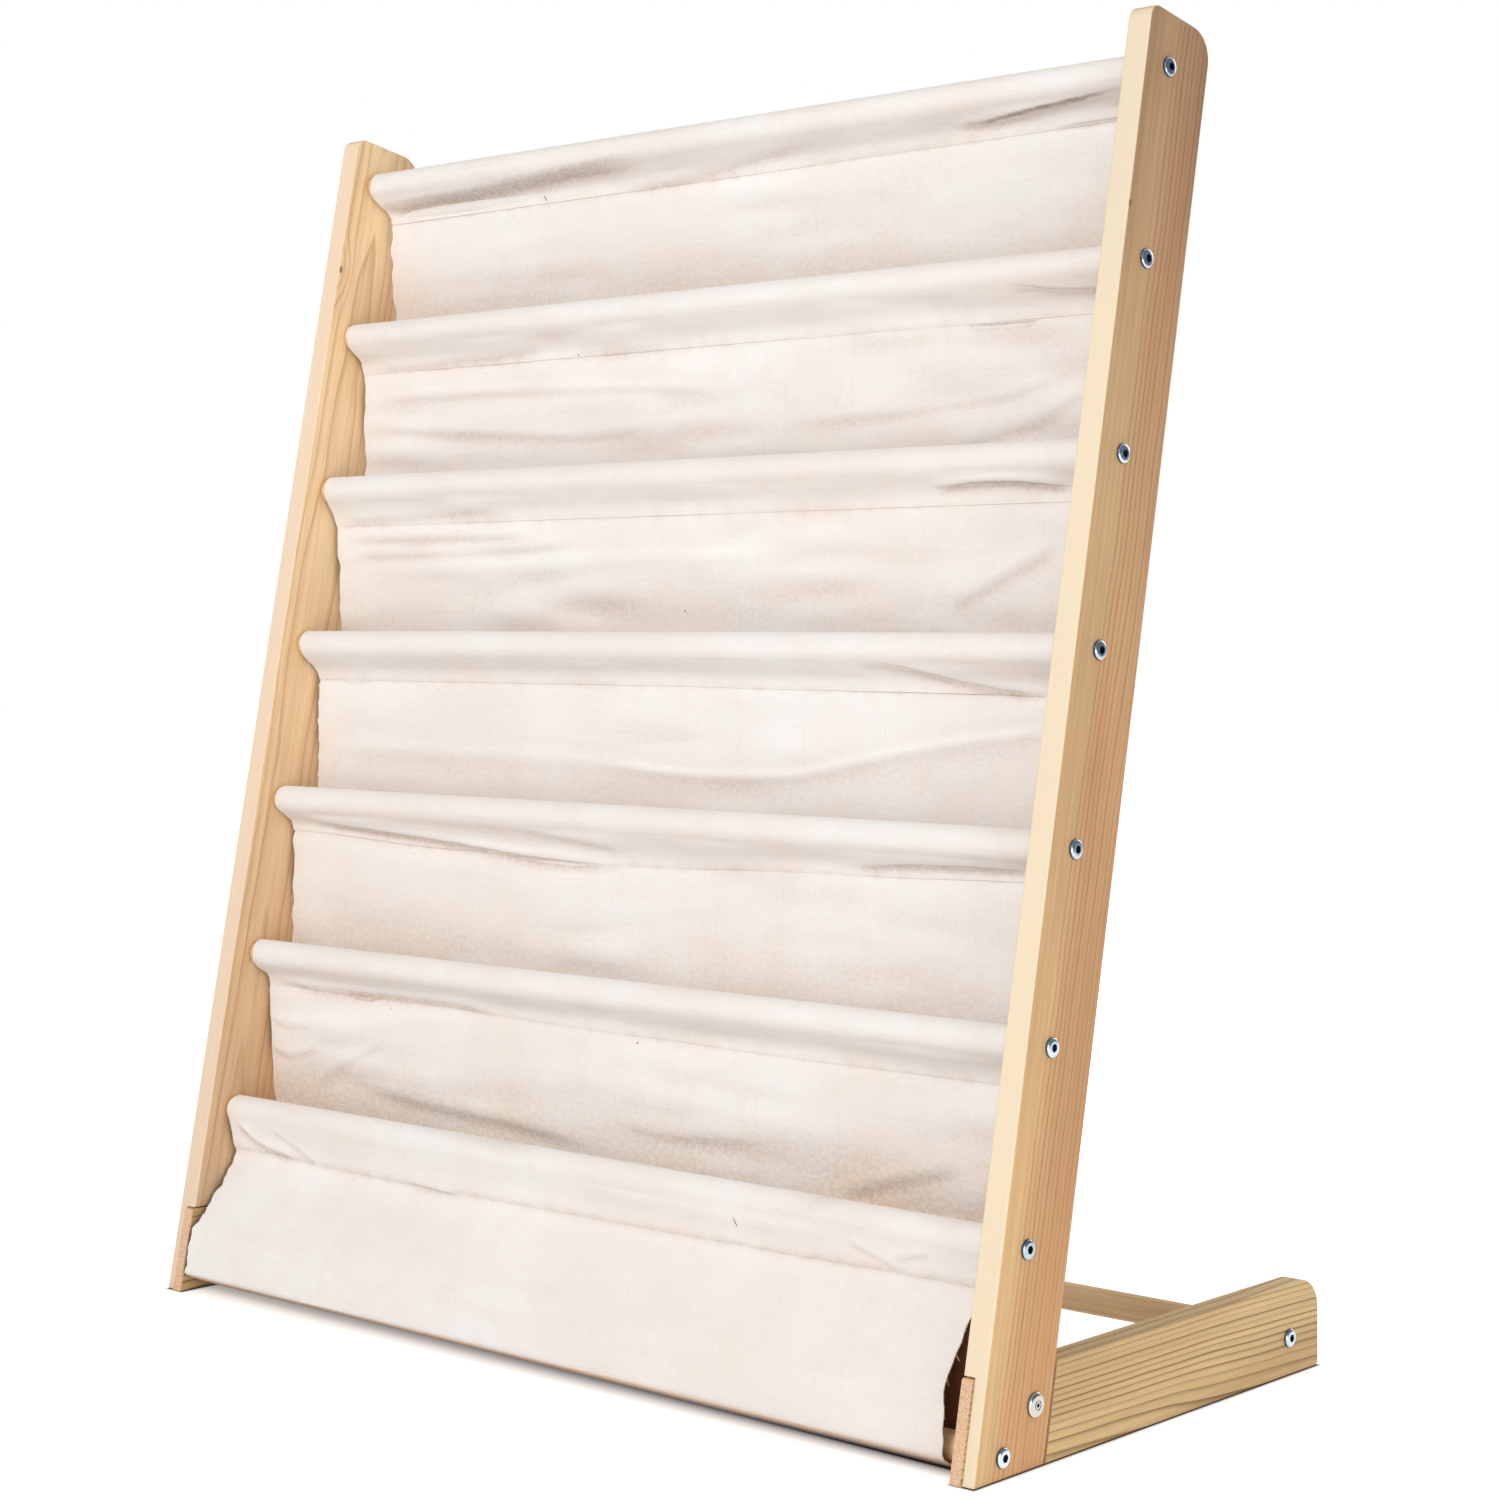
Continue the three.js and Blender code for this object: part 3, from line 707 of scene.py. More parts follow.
def crease_shade_lines(n, place, mottle):
    """How strongly the sharp line of painted shade in the bottom of a crease shows at a place."""
    noise = n.add("ShaderNodeTexNoise", Vector=place, Scale=90.0, Detail=2.0).outputs["Color"]
    wavering = n.vector("ADD", place, n.vector("MULTIPLY", noise, (LINE_WAVER, 0, LINE_WAVER)))
    flat = n.vector("MULTIPLY", wavering, (1, 0, 1))
    most = 0.0
    for i, strength, line, *_, width in (crease for crease in CREASES if crease[1]):
        path = [Vector((MM * x + LINE_WAVER / 2, 0, AXIS_HEIGHTS[i] - MM * drop + LINE_WAVER / 2))
                for x, drop in line]
        for k, (start, end) in enumerate(zip(path, path[1:])):
            along = end - start
            off = n.vector("SUBTRACT", flat, start)
            share = n.math("ADD", n.vector("DOT_PRODUCT", off, along / along.length_squared), 0.0, clamp=True)
            foot = n.add("ShaderNodeVectorMath", {"operation": "SCALE"}, i0=along, Scale=share).outputs[0]
            whole = n.math("DIVIDE", n.total(share, k), len(path) - 1)
            ends = n.product(n.between(whole, 0.0, 0.3), n.between(whole, 0.8, 1.0, 1.0, 0.0))
            near = n.between(n.vector("DISTANCE", off, foot), 0.0, MM * width, strength, 0.0)
            most = n.most(most, n.product(near, ends))
    facing_back = n.split(n.place("Normal"))[1]
    return n.product(most, n.between(mottle, 0.35, 0.65, 0.6, 1.0), n.math("LESS_THAN", facing_back, 0.0))


def seeds(n, cloth):
    """Where the husks of cotton seeds show as brown dots."""
    place = n.vector("MULTIPLY", cloth, (26, 26, 26))
    cells = n.add("ShaderNodeTexVoronoi", Vector=place, Scale=1.0, Randomness=1.0).outputs
    size = n.add("ShaderNodeSeparateColor", Color=cells["Color"]).outputs[0]
    return n.math("LESS_THAN", cells["Distance"], n.between(size, 0.55, 1.0, 0.0, 0.016, smoothly=False))


def flecks(n, place):
    """The dark flecks that the cloth has at known places, each as a layer of colour."""
    for x, z, slant, length in FLECKS:
        off = n.add("ShaderNodeMapping", {"vector_type": "TEXTURE"}, Vector=place, Location=(x, 0, z),
                    Rotation=(0, slant, 0), Scale=(FLECK_HALF_WIDTH, 1000, length)).outputs[0]
        yield n.between(n.vector("LENGTH", off), 0.6, 1.0, 0.85, 0.0), (92, 62, 44)


def cotton():
    """Unbleached calico: a plain weave with slubs, a few seed flecks, and slightly uneven dye."""
    n = new_material("cotton_calico")
    cloth = n.add("ShaderNodeUVMap", {"uv_map": "Cloth"}).outputs[0]
    place = n.place()
    waver = n.product(n.less(n.noise(cloth, (60, 60, 1), 2), 0.5), 0.0008)
    warp, weft = (n.math("SINE", n.product(n.total(across, waver), 2 * math.pi / WEAVE_PITCH))
                  for across in n.split(cloth)[:2])
    weave = n.between(n.product(warp, weft), -1.0, 1.0, smoothly=False)
    slubs = n.most(n.noise(cloth, (1500, 35, 1), 2, 0.6), n.noise(cloth, (35, 1500, 1), 2, 0.6))
    slubs = n.between(slubs, 0.58, 0.8)

    cloud = n.noise(place, (7, 7, 9), 3, 0.55)
    patch = n.noise(place, (26, 26, 34), 3, 0.6)
    grain = n.noise(cloth, (700, 700, 1), 2, 0.6)
    streak = n.most(n.noise(cloth, (420, 9, 1), 2, 0.6), n.noise(cloth, (9, 420, 1), 2, 0.6))
    crumple = n.noise(cloth, (38, 90, 1), 4, 0.6)
    mottle = n.noise(cloth, (240, 300, 1), 4, 0.7)
    # painted shade in valleys and on slopes that face down, and painted highlight on ridges, from the cloth's
    # relief
    relief_shade = n.attribute("relief_shade")
    valley_shade = n.product(n.between(relief_shade, 0.0, RELIEF_RANGE[0], 0.0, 0.66, False),
                       n.between(mottle, 0.3, 0.7, 0.6, 1.4))
    shade = n.layered(
        n.mix(n.between(cloud, 0.35, 0.65), colour(245, 243, 242), colour(242, 235, 230)),
        (n.between(patch, 0.45, 0.75, 0.0, 0.4), (240, 230, 221)),
        (n.between(weave, 0.0, 1.0, 0.08, 0.0), (205, 190, 170)),
        (n.product(slubs, 0.35), (253, 250, 245)),
        (n.between(streak, 0.55, 0.8, 0.0, 0.2), (226, 208, 192)),
        (n.between(grain, 0.3, 0.75, 0.0, 0.10), (220, 204, 188)),
        # painted shade in valleys, with a little of the cloth's own mottle, then painted highlight on ridges
        (n.total(valley_shade, n.between(mottle, 0.45, 0.75, 0.0, 0.07)), (200, 172, 154)),
        (n.between(relief_shade, 0.1, 1.0, 0.0, 0.5, False), (253, 251, 248)),
    )
    # painted warm shade where a panel runs down behind the sleeve in front of it, broken up by the mottle
    warm_shade = n.product(n.attribute("shelter_shade"), n.between(mottle, 0.35, 0.62, 0.2, 1.2),
                       n.between(cloud, 0.3, 0.6, 0.5, 1.0))
    shade = n.mix(warm_shade, shade, colour(251, 232, 212), "MULTIPLY")
    shade = n.layered(
        shade,
        # painted shade: a sharp dark line in the bottom of each crease
        (crease_shade_lines(n, place, mottle), (146, 120, 100)),
        (n.product(seeds(n, cloth), 0.65), (150, 110, 74)),
        # painted warm shade, tan, along the skirt's bottom edge
        (n.product(n.attribute("underside_shade"), 0.8), (228, 182, 136)),
        # painted dark shade within the tube that the skirt makes round the bottom dowel
        (n.attribute("inside"), (136, 88, 62)),
        *flecks(n, place),
    )
    heights = ((weave, 0.6), (slubs, 0.7), (grain, 0.7), (crumple, 7), (mottle, 1.8))
    height = n.total(*(n.product(pattern, share) for pattern, share in heights))
    return n.surfaced(
        Base_Color=shade,
        Roughness=n.between(weave, 0.0, 1.0, 0.95, 0.85),
        Specular_IOR_Level=0.2,
        Sheen_Weight=0.15,
        Sheen_Roughness=0.6,
        Normal=n.bump(height, 0.00018, 0.6),
    )


def thread():
    n = new_material("cotton_thread")
    twist = n.noise(n.place(), (2600, 2600, 2600), 1)
    return n.surfaced(
        Base_Color=n.mix(twist, colour(248, 240, 228), colour(226, 210, 190)),
        Roughness=n.between(twist, 0.0, 1.0, 0.8, 0.95),
        Normal=n.bump(twist, 0.0001, 0.4),
    )


def zinc(name, low, high, roughness):
    """Plated steel with a faint mottle and fine turning marks, a little darker on some of the heads."""
    n = new_material(name)
    place = n.place()
    mottle = n.noise(place, (500, 500, 500), 3, 0.6)
    scratches = n.noise(place, (200, 2600, 2600), 2, 0.7)
    head = n.noise(place, (3, 3, 9), 0)
    share = n.total(n.product(mottle, 0.35), n.between(head, 0.35, 0.65, 0.0, 0.65))
    return n.surfaced(
        Base_Color=n.mix(share, colour(*low), colour(*high)),
        Metallic=1.0,
        Roughness=n.between(mottle, 0.2, 0.8, roughness, roughness + 0.12),
        Normal=n.bump(scratches, 0.00003, 0.3),
    )


UPRIGHT_PINES = {
    "right": pine(
        "pine_right_upright", (LAP_PLANE, FRONT_Y, 0), (-LEAN, 0, 0), (0.034, -0.039), 0.0044,
        colour(228, 192, 142), colour(152, 92, 52), contrast=0.85, tilt=0.008, wobble=0.0060,
        red=(0.007, 0.030), plain=(0.006, 0.022), front=colour(241, 228, 202),
        knot=((0.009, -0.0145, 0.8045), 0.0016), browner=(0.24, 0.98), slope=0.02,
    ),
    "left": pine(
        "pine_left_upright", (-LAP_PLANE, FRONT_Y, 0), (-LEAN, 0, 0), (-0.034, 0.026), 0.0034,
        colour(254, 222, 176), colour(204, 148, 98), contrast=0.62, tilt=-0.006, wobble=0.0040,
        red=(0.030, 0.060), front=colour(238, 216, 192), knot=((0.009, 0.002, 0.8265), 0.0020),
        browner=(0.55, -0.25),
    ),
}
FOOT_PINES = {
    side: pine(
        f"pine_{side}_foot", (x, 0, 0), (math.pi / 2, 0, 0), (-0.024 * x / LAP_PLANE, -0.006), 0.0033,
        colour(224, 194, 144), colour(112, 72, 36), contrast=1.0, tilt=0.018, wobble=0.0017,
    )
    for side, x in (("right", LAP_PLANE), ("left", -LAP_PLANE))
}
DOWEL_PINE = pine(
    "pine_dowels", (0, 0, 0), (0, math.pi / 2, 0), (-0.050, 0.060), 0.0048,
    colour(236, 207, 162), colour(200, 153, 100), contrast=0.6, tilt=0.02, wobble=0.0030,
)
COTTON = cotton()
THREAD = thread()
ZINC = zinc("zinc_plate", (160, 176, 190), (206, 218, 228), 0.16)
BOLT_ZINC = zinc("zinc_lap_bolt", (166, 166, 156), (196, 198, 192), 0.14)
# painted shade: dark blue-grey faces deep in each head's socket
SOCKET_SHADE_ZINC = zinc("zinc_socket_shade", (12, 36, 62), (36, 66, 98), 0.4)
# painted shade: a dark ring round each head's rim, for the dark outline where it meets the wood
RIM_SHADE_ZINC = zinc("zinc_rim_shade", (70, 76, 82), (100, 108, 114), 0.3)


# Timber

def box_between(name, low, high):
    (x0, y0, z0), (x1, y1, z1) = low, high
    return prism(name, [(y0, z0), (y1, z0), (y1, z1), (y0, z1)], x0, x1)


def drill(axis, diameter):
    low, high = INNER - CUT_OVERRUN, OUTER + CUT_OVERRUN
    radius = diameter / 2 + SEAT_GAP
    return turned("drill", [(low, 0), (low, radius), (high, radius), (high, 0)], axis, DRILL_SIDES)


def board(side, label, outline, tools, material):
    """A board of one side, made as the right one and mirrored for the left."""
    made = prism(f"{side}_{label}_board", rounded_outline(outline), INNER, OUTER)
    modified(made, "BEVEL", width=EASED_EDGE, segments=3, limit_method="ANGLE",
             angle_limit=math.radians(EASED_ANGLE))
    cut(made, tools)
    if side == "left":
        made.data.transform(Matrix.Diagonal((-1, 1, 1, 1)))
        made.data.flip_normals()
    smooth(made, BOARD_SHARP)
    modified(made, "WEIGHTED_NORMAL", keep_sharp=True)
    return finish_piece(made, [f"{side}_{label}"], [material])


def upright(side):
    up = (DOWELS[0] - on_upright(0, 0)) @ (math.sin(LEAN), math.cos(LEAN)) + TOP_MARGIN
    top = FOOT_HIGH.z + NOTCH_GAP
    outline = [
        (on_upright(0, 0), 0),
        (np.array([slope_y(UPRIGHT_DEPTH, 0), 0]), 0),
        (on_upright(up, UPRIGHT_DEPTH), REAR_CORNER_RADIUS),
        (on_upright(up, 0), FRONT_CORNER_RADIUS),
    ]
    notch = box_between("notch", (INNER - CUT_OVERRUN, FRONT_Y - 2 * CUT_OVERRUN, -CUT_OVERRUN),
                        (LAP_PLANE + SEAT_GAP / 2, slope_y(UPRIGHT_DEPTH, top) + CUT_OVERRUN, top))
    bores = [drill(axis, SCREW_SHANK) for axis in DOWELS]
    return board(side, "upright", outline, [notch, *bores, drill(LAP_BOLT, BOLT_SHANK)], UPRIGHT_PINES[side])


def foot(side):
    height = FOOT_HIGH.z
    outline = [
        (np.array([slope_y(-TONGUE_PROUD, 0), 0]), 0),
        (np.array([FOOT_HIGH.y, 0]), FOOT_HEEL_RADIUS),
        (np.array([FOOT_HIGH.y, height]), FOOT_TOP_RADIUS),
        (np.array([slope_y(-TONGUE_PROUD, height), height]), 0),
    ]
    low, high = -CUT_OVERRUN, height + CUT_OVERRUN
    front = slope_y(-TONGUE_PROUD, 0) - CUT_OVERRUN
    shoulder = UPRIGHT_DEPTH + SHOULDER_GAP
    housing = prism("housing", [(front, low), (slope_y(shoulder, low), low), (slope_y(shoulder, high), high),
                                (front, high)], LAP_PLANE - SEAT_GAP / 2, OUTER + CUT_OVERRUN)
    bores = [drill(DOWELS[-1], SCREW_SHANK), drill(REAR_DOWEL, SCREW_SHANK), drill(LAP_BOLT, NUT_BARREL)]
    return board(side, "foot", outline, [housing, *bores], FOOT_PINES[side])


def dowel(node, axis):
    end = INNER - SEAT_GAP
    pilot = SCREW_SHANK / 2 + SEAT_GAP
    pilot_end = OUTER - SCREW_LENGTH
    half = [
        (pilot_end, 0),
        (pilot_end, pilot),
        (end, pilot),
        (end, DOWEL_RADIUS - EASED_EDGE),
        (end - EASED_EDGE / 3, DOWEL_RADIUS - EASED_EDGE / 3),
        (end - EASED_EDGE, DOWEL_RADIUS),
    ]
    profile = [(-x, radius) for x, radius in half] + half[::-1]
    made = turned(f"{node}_turned", profile, axis, DOWEL_SIDES)
    smooth(made, DOWEL_SHARP)
    return finish_piece(made, [node], [DOWEL_PINE])


# Fasteners, made for the right side and turned round for the left

def domed_head(diameter, height):
    """A low domed head: a short rim, a rounded shoulder and a nearly flat crown."""
    radius = diameter / 2
    profile = [(HEAD_SEAT, radius * HEAD_FOOT[1]), (HEAD_SEAT + height * HEAD_FOOT[0], radius),
               (HEAD_SEAT + height * HEAD_RIM, radius)]
    for step in range(1, HEAD_STEPS + 1):
        angle = math.pi / 2 * step / HEAD_STEPS
        profile.append((HEAD_SEAT + height * (HEAD_RIM + (1 - HEAD_RIM) * math.sin(angle)),
                        radius * (HEAD_CROWN + (1 - HEAD_CROWN) * math.cos(angle))))
    return profile


def socket_tool(across_flats, depth, top, turn):
    corner = across_flats / 2 / math.cos(math.pi / 6)
    tool = turned("socket", [(top - depth, 0), (top - depth, corner), (top + CUT_OVERRUN, corner),
                             (top + CUT_OVERRUN, 0)], (0, 0), 6)
    tool.data.transform(Matrix.Rotation(turn, 4, "X"))
    return tool


def darkened(made, axis, across_flats, depth, top):
    """Gives the faces in a head's socket and on its rim their own darker materials, as painted shade."""
    reach = across_flats / 2 / math.cos(math.pi / 6) + SEAT_GAP
    for polygon in made.data.polygons:
        x = abs(polygon.center.x)
        off_axis = math.hypot(polygon.center.y - axis[0], polygon.center.z - axis[1])
        outside = x > OUTER + SEAT_GAP / 2
        inside = off_axis < reach and top - depth - SEAT_GAP < x < top - depth * SOCKET_LIP
        rim = outside and abs(polygon.normal.x) < RIM_FACING
        polygon.material_index = 1 if inside and outside else 2 if rim else 0


def fastener(side, label, part, axis, profile, metal, socket=None, top=0, turn=0):
    made = turned(f"{side}_{label}_{part}", profile, (0, 0))
    if socket:
        cut(made, [socket_tool(*socket, top, turn)])
    if side == "left":
        made.data.transform(Matrix.Rotation(math.pi, 4, "Z"))
    made.data.transform(Matrix.Translation((0, *axis)))
    smooth(made, HEAD_SHARP)
    finish_piece(made, [f"{side}_{label}"], [metal, SOCKET_SHADE_ZINC, RIM_SHADE_ZINC])
    if socket:
        darkened(made, axis, *socket, top)
    return made


def dowel_screw(side, label, axis, turn):
    tip = HEAD_SEAT - SCREW_LENGTH
    shank = SCREW_SHANK / 2
    top = HEAD_SEAT + SCREW_HEAD_HEIGHT
    profile = [(tip, 0), (tip + SCREW_POINT, shank), (HEAD_SEAT, shank),
               *domed_head(SCREW_HEAD, SCREW_HEAD_HEIGHT), (top, 0)]
    return fastener(side, label, "head", axis, profile, ZINC, SCREW_SOCKET, top, turn)


def lap_bolt(side, turn):
    tip = LAP_PLANE - BOLT_ENGAGEMENT
    shank = BOLT_SHANK / 2
    top = HEAD_SEAT + BOLT_HEAD_HEIGHT
    ring = [(top - depth, BOLT_HEAD * share) for share, depth in BOLT_RING]
    profile = [(tip, 0), (tip, shank), (HEAD_SEAT, shank), *domed_head(BOLT_HEAD, BOLT_HEAD_HEIGHT), *ring]
    return fastener(side, "lap_bolt", "head", LAP_BOLT, profile, BOLT_ZINC, BOLT_SOCKET, top, turn)


def sleeve_nut(side):
    seat = INNER - SEAT_GAP
    outer = seat - NUT_FLANGE_HEIGHT
    mouth = LAP_PLANE - SEAT_GAP
    bore = BOLT_SHANK / 2 + SEAT_GAP
    bore_end = LAP_PLANE - BOLT_ENGAGEMENT - SEAT_GAP
    flange = node_radius(f"{side}_sleeve_nut")
    profile = [
        (outer, 0),
        (outer, flange * NUT_RIM[1]),
        (seat - NUT_FLANGE_HEIGHT * NUT_RIM[0], flange),
        (seat, flange),
        (seat, NUT_BARREL / 2),
        (mouth, NUT_BARREL / 2),
        (mouth, bore),
        (bore_end, bore),
        (bore_end, 0),
    ]
    return fastener(side, "sleeve_nut", "body", LAP_BOLT, profile, ZINC)


# Cloth: lines down the strip, as (y, z) points

def eased_share(value):
    value = np.clip(value, 0, 1)
    return value * value * (3 - 2 * value)


def smooth_between(values, share):
    """A value from a row of evenly spaced ones, turning smoothly from each to the next."""
    place = np.clip(share, 0, 1) * (len(values) - 1)
    low = int(min(place, len(values) - 2))
    part = eased_share(place - low)
    return values[low] * (1 - part) + values[low + 1] * part


def seam_drop(i, x):
    return smooth_between(SEAM_DROPS[i], (x / HALF_WIDTH + 1) / 2)


def seam_front(i, x):
    return DOWELS[i] + (SEAM_BACKS[i], -seam_drop(i, x))


def seam_rear(i, x):
    return seam_front(i, x) + (LAYER_STEP, 0)


def sleeve_angles(axis, from_point, to_point):
    """Angles at which lines from two outer points touch the sleeve's circle, anticlockwise between them."""
    start, end = from_point - axis, to_point - axis
    from_angle = math.atan2(start[1], start[0]) % (2 * math.pi) - 2 * math.pi
    from_angle += math.acos(SLEEVE_RADIUS / np.linalg.norm(start))
    to_angle = math.atan2(end[1], end[0]) % (2 * math.pi) - math.acos(SLEEVE_RADIUS / np.linalg.norm(end))
    return from_angle, to_angle


# Each stretch of a line is its points, the mesh's step on it, and the kind that says how freely it moves

def sleeve(i, x):
    rear, front = seam_rear(i, x), seam_front(i, x)
    bend = front + (0, SEAM_BEND)
    turn = arc(DOWELS[i], SLEEVE_RADIUS, *sleeve_angles(DOWELS[i], rear, bend), ARC_STEPS)
    near = bend + (turn[-1] - bend) * SEAM_BEND / np.linalg.norm(turn[-1] - bend)
    t = np.linspace(0, 1, CURVE_STEPS + 1)[:, None]
    bent = (1 - t) ** 2 * near + 2 * t * (1 - t) * bend + t ** 2 * front
    return [
        (np.array([rear, turn[0]]), HIDDEN_STEP, "rear"),
        (turn, SHOWN_STEP, "round"),
        (np.array([turn[-1], *bent]), SHOWN_STEP, "front"),
    ]


def top_sleeve_line(x):
    rear = seam_rear(0, x)
    hem_end = rear + (PANEL_SWINGS[0] * HEM_LENGTH / SEAM_DROPS[0][0], -HEM_LENGTH)
    return [(np.array([hem_end, rear]), SHOWN_STEP, "free"), *sleeve(0, x)]


def tucked(i, x):
    """The top of a panel, between the two layers of the sleeve that it is sewn to."""
    return seam_front(i, x) + np.array([(LAYER_STEP / 2, SEAM_TUCK), (LAYER_STEP / 2, -SEAT_GAP)])


def pocket_line(i, x):
    """A panel that hangs from seam i, turns up in a pocket behind the next panel, and rises into a sleeve."""
    axis_height = AXIS_HEIGHTS[i + 1]
    top = tucked(i, x)[1]
    rear = seam_rear(i + 1, x)
    swing_ahead = PANEL_SWINGS[i + 1] if i + 1 < POCKET_COUNT else 0
    panel_y = top[0] + PANEL_SWINGS[i]
    riser_y = rear[0] + max(swing_ahead, 0) + RISER_SLACK
    half = (panel_y - riser_y) / 2
    radius = min(POCKET_TURN, half)
    turn_height = axis_height - POCKET_DEPTH + radius
    heights = np.linspace(top[1], turn_height, PANEL_STEPS)
    swing = PANEL_SWINGS[i] * eased_share((top[1] - heights) / (top[1] - axis_height))
    below = np.clip((axis_height - heights) / (axis_height - turn_height), 0, 1)
    panel = np.stack([top[0] + swing - (half - radius) * below, heights], axis=1)
    split = int((heights > axis_height - DOWEL_RADIUS).sum())
    turn = arc(np.array([(panel_y + riser_y) / 2, turn_height]), radius, 0, -math.pi, TURN_STEPS)
    return [
        (tucked(i, x), SHOWN_STEP, "free"),
        (panel[:split], SHOWN_STEP, "free"),
        (panel[split - 1:], HIDDEN_STEP, "free"),
        (turn, HIDDEN_STEP, "free"),
        (np.array([turn[-1], rear]), HIDDEN_STEP, "riser"),
        *sleeve(i + 1, x),
    ]


def toe_height(x):
    return np.interp(x, (-HALF_WIDTH, HALF_WIDTH), SKIRT_TOE_HEIGHTS)


def skirt_line(x):
    """The last panel, which goes round the bottom dowel and is sewn to its own back."""
    axis = DOWELS[-1]
    top = tucked(POCKET_COUNT, x)[1]
    twist = SKIRT_TWIST * x / HALF_WIDTH
    knee = np.array([FRONT_Y + SKIRT_KNEE_BACK + twist, SKIRT_KNEE_HEIGHT])
    front = np.array([FRONT_Y + SKIRT_FRONT_BACK + twist, axis[1] + DOWEL_RADIUS / 2])
    toe = np.array([front[0] + LAYER_STEP, toe_height(x)])
    steps = [top + (knee - top) * shares for shares in SKIRT_STEP_SHARES]
    toe_angle, _ = sleeve_angles(axis, toe, knee)
    tangent = arc(axis, SLEEVE_RADIUS, toe_angle, 0, 1)[0]
    whole = curve_through(np.array([top, *steps, knee, front, toe, tangent]), CURVE_STEPS)
    split = CURVE_STEPS * (len(steps) + 1)
    behind = whole + (LAYER_STEP, 0)
    hem = behind[(behind[:, 1] > SKIRT_SEAM_HEIGHT) & (behind[:, 1] < SKIRT_HEM_HEIGHT)][::-1]
    _, hem_angle = sleeve_angles(axis, toe, hem[0])
    around = arc(axis, SLEEVE_RADIUS, toe_angle, hem_angle, ARC_STEPS)
    return [
        (tucked(POCKET_COUNT, x), SHOWN_STEP, "free"),
        (whole[:split + 1], SHOWN_STEP, "free"),
        (whole[split:], SHOWN_STEP, "front_low"),
        (around, SHOWN_STEP, "round"),
        (np.array([around[-1], hem[0]]), SHOWN_STEP, "wrap"),
        (hem, SHOWN_STEP, "free"),
    ]


def curve_through(points, steps):
    """A smooth curve through the points."""
    ends = np.concatenate([[2 * points[0] - points[1]], points, [2 * points[-1] - points[-2]]])
    t = np.linspace(0, 1, steps, endpoint=False)[:, None]
    made = []
    for a, b, c, d in zip(ends, ends[1:], ends[2:], ends[3:]):
        bends = (2 * a - 5 * b + 4 * c - d) * t ** 2 + (3 * b - a - 3 * c + d) * t ** 3
        made.append((2 * b + (c - a) * t + bends) / 2)
    return np.concatenate([*made, points[-1:]])


def run(points):
    """How far along a line each of its points is."""
    return np.concatenate([[0], np.cumsum(np.linalg.norm(np.diff(points, axis=0), axis=1))])


def spaced(points, count):
    """The line again, as evenly spaced points."""
    lengths = run(points)
    wanted = np.linspace(0, lengths[-1], count)
    return np.stack([np.interp(wanted, lengths, points[:, k]) for k in range(points.shape[1])], axis=1)


def freedom(kind, share):
    """How freely a place on a stretch may stand off its line, from how far along the stretch it is."""
    if kind in ("rear", "wrap"):
        return np.clip(1 - share * RELEASES[kind], 0, 1)
    if kind == "front":
        return eased_share(share * RELEASES[kind])
    if kind == "front_low":
        return eased_share(1 - share * RELEASES[kind])
    return np.full_like(share, 0.0 if kind == "round" else 1.0)


# Cloth: how it stands off those lines

def spans(height):
    """Which dowel is above each height, and how far down to the next one that is, as a share."""
    span = np.clip(len(DOWELS) - np.searchsorted(AXIS_HEIGHTS[::-1], height) - 1, 0, len(DOWELS) - 2)
    return span, (AXIS_HEIGHTS[span] - height) / (AXIS_HEIGHTS[span] - AXIS_HEIGHTS[span + 1])


def shelter_shade_share(height):
    """How deep places lie behind the next sleeve, as a share that is 1 at that sleeve's dowel, times the
    panel's painted warm shade.
    """
    span, share = spans(height)
    return eased_share((share - SHELTER_FROM) / (1 - SHELTER_FROM)) * np.array(SHELTER_SHADES)[span]


def billow(x, span, share):
    """How far the slack cloth stands to the front at places between two dowels."""
    inner = np.clip((share - BILLOW_MARGIN_SHARE) / (1 - 2 * BILLOW_MARGIN_SHARE), 0, 1)
    stand = np.zeros_like(x)
    for i, below_dowel in enumerate(BILLOWS):
        for at, spread, tilt, height in below_dowel:
            away = (x / (2 * HALF_WIDTH) - at - tilt * (share - 0.5)) / spread
            stand += (span == i) * MM * height * np.exp(-away ** 2)
    return stand * np.sin(math.pi * inner) ** 2


def from_line(line, x, drop):
    """Distance of places from a line across the cloth, more than 0 below it, and the share along it."""
    path = curve_through(line, FOLD_STEPS)
    starts = run(path)
    steps = np.diff(starts)
    best = np.full_like(x, 1.0)
    share = np.zeros_like(x)
    for k, (a, b) in enumerate(zip(path, path[1:])):
        along = (b - a) / steps[k]
        t = np.clip((x - a[0]) * along[0] + (drop - a[1]) * along[1], 0, steps[k])
        gap_x, gap_drop = x - a[0] - t * along[0], drop - a[1] - t * along[1]
        away = np.hypot(gap_x, gap_drop)
        side = np.where(along[0] * gap_drop - along[1] * gap_x >= 0, 1, -1)
        nearer = away < np.abs(best)
        best = np.where(nearer, away * side, best)
        share = np.where(nearer, (starts[k] + t) / starts[-1], share)
    return best, share


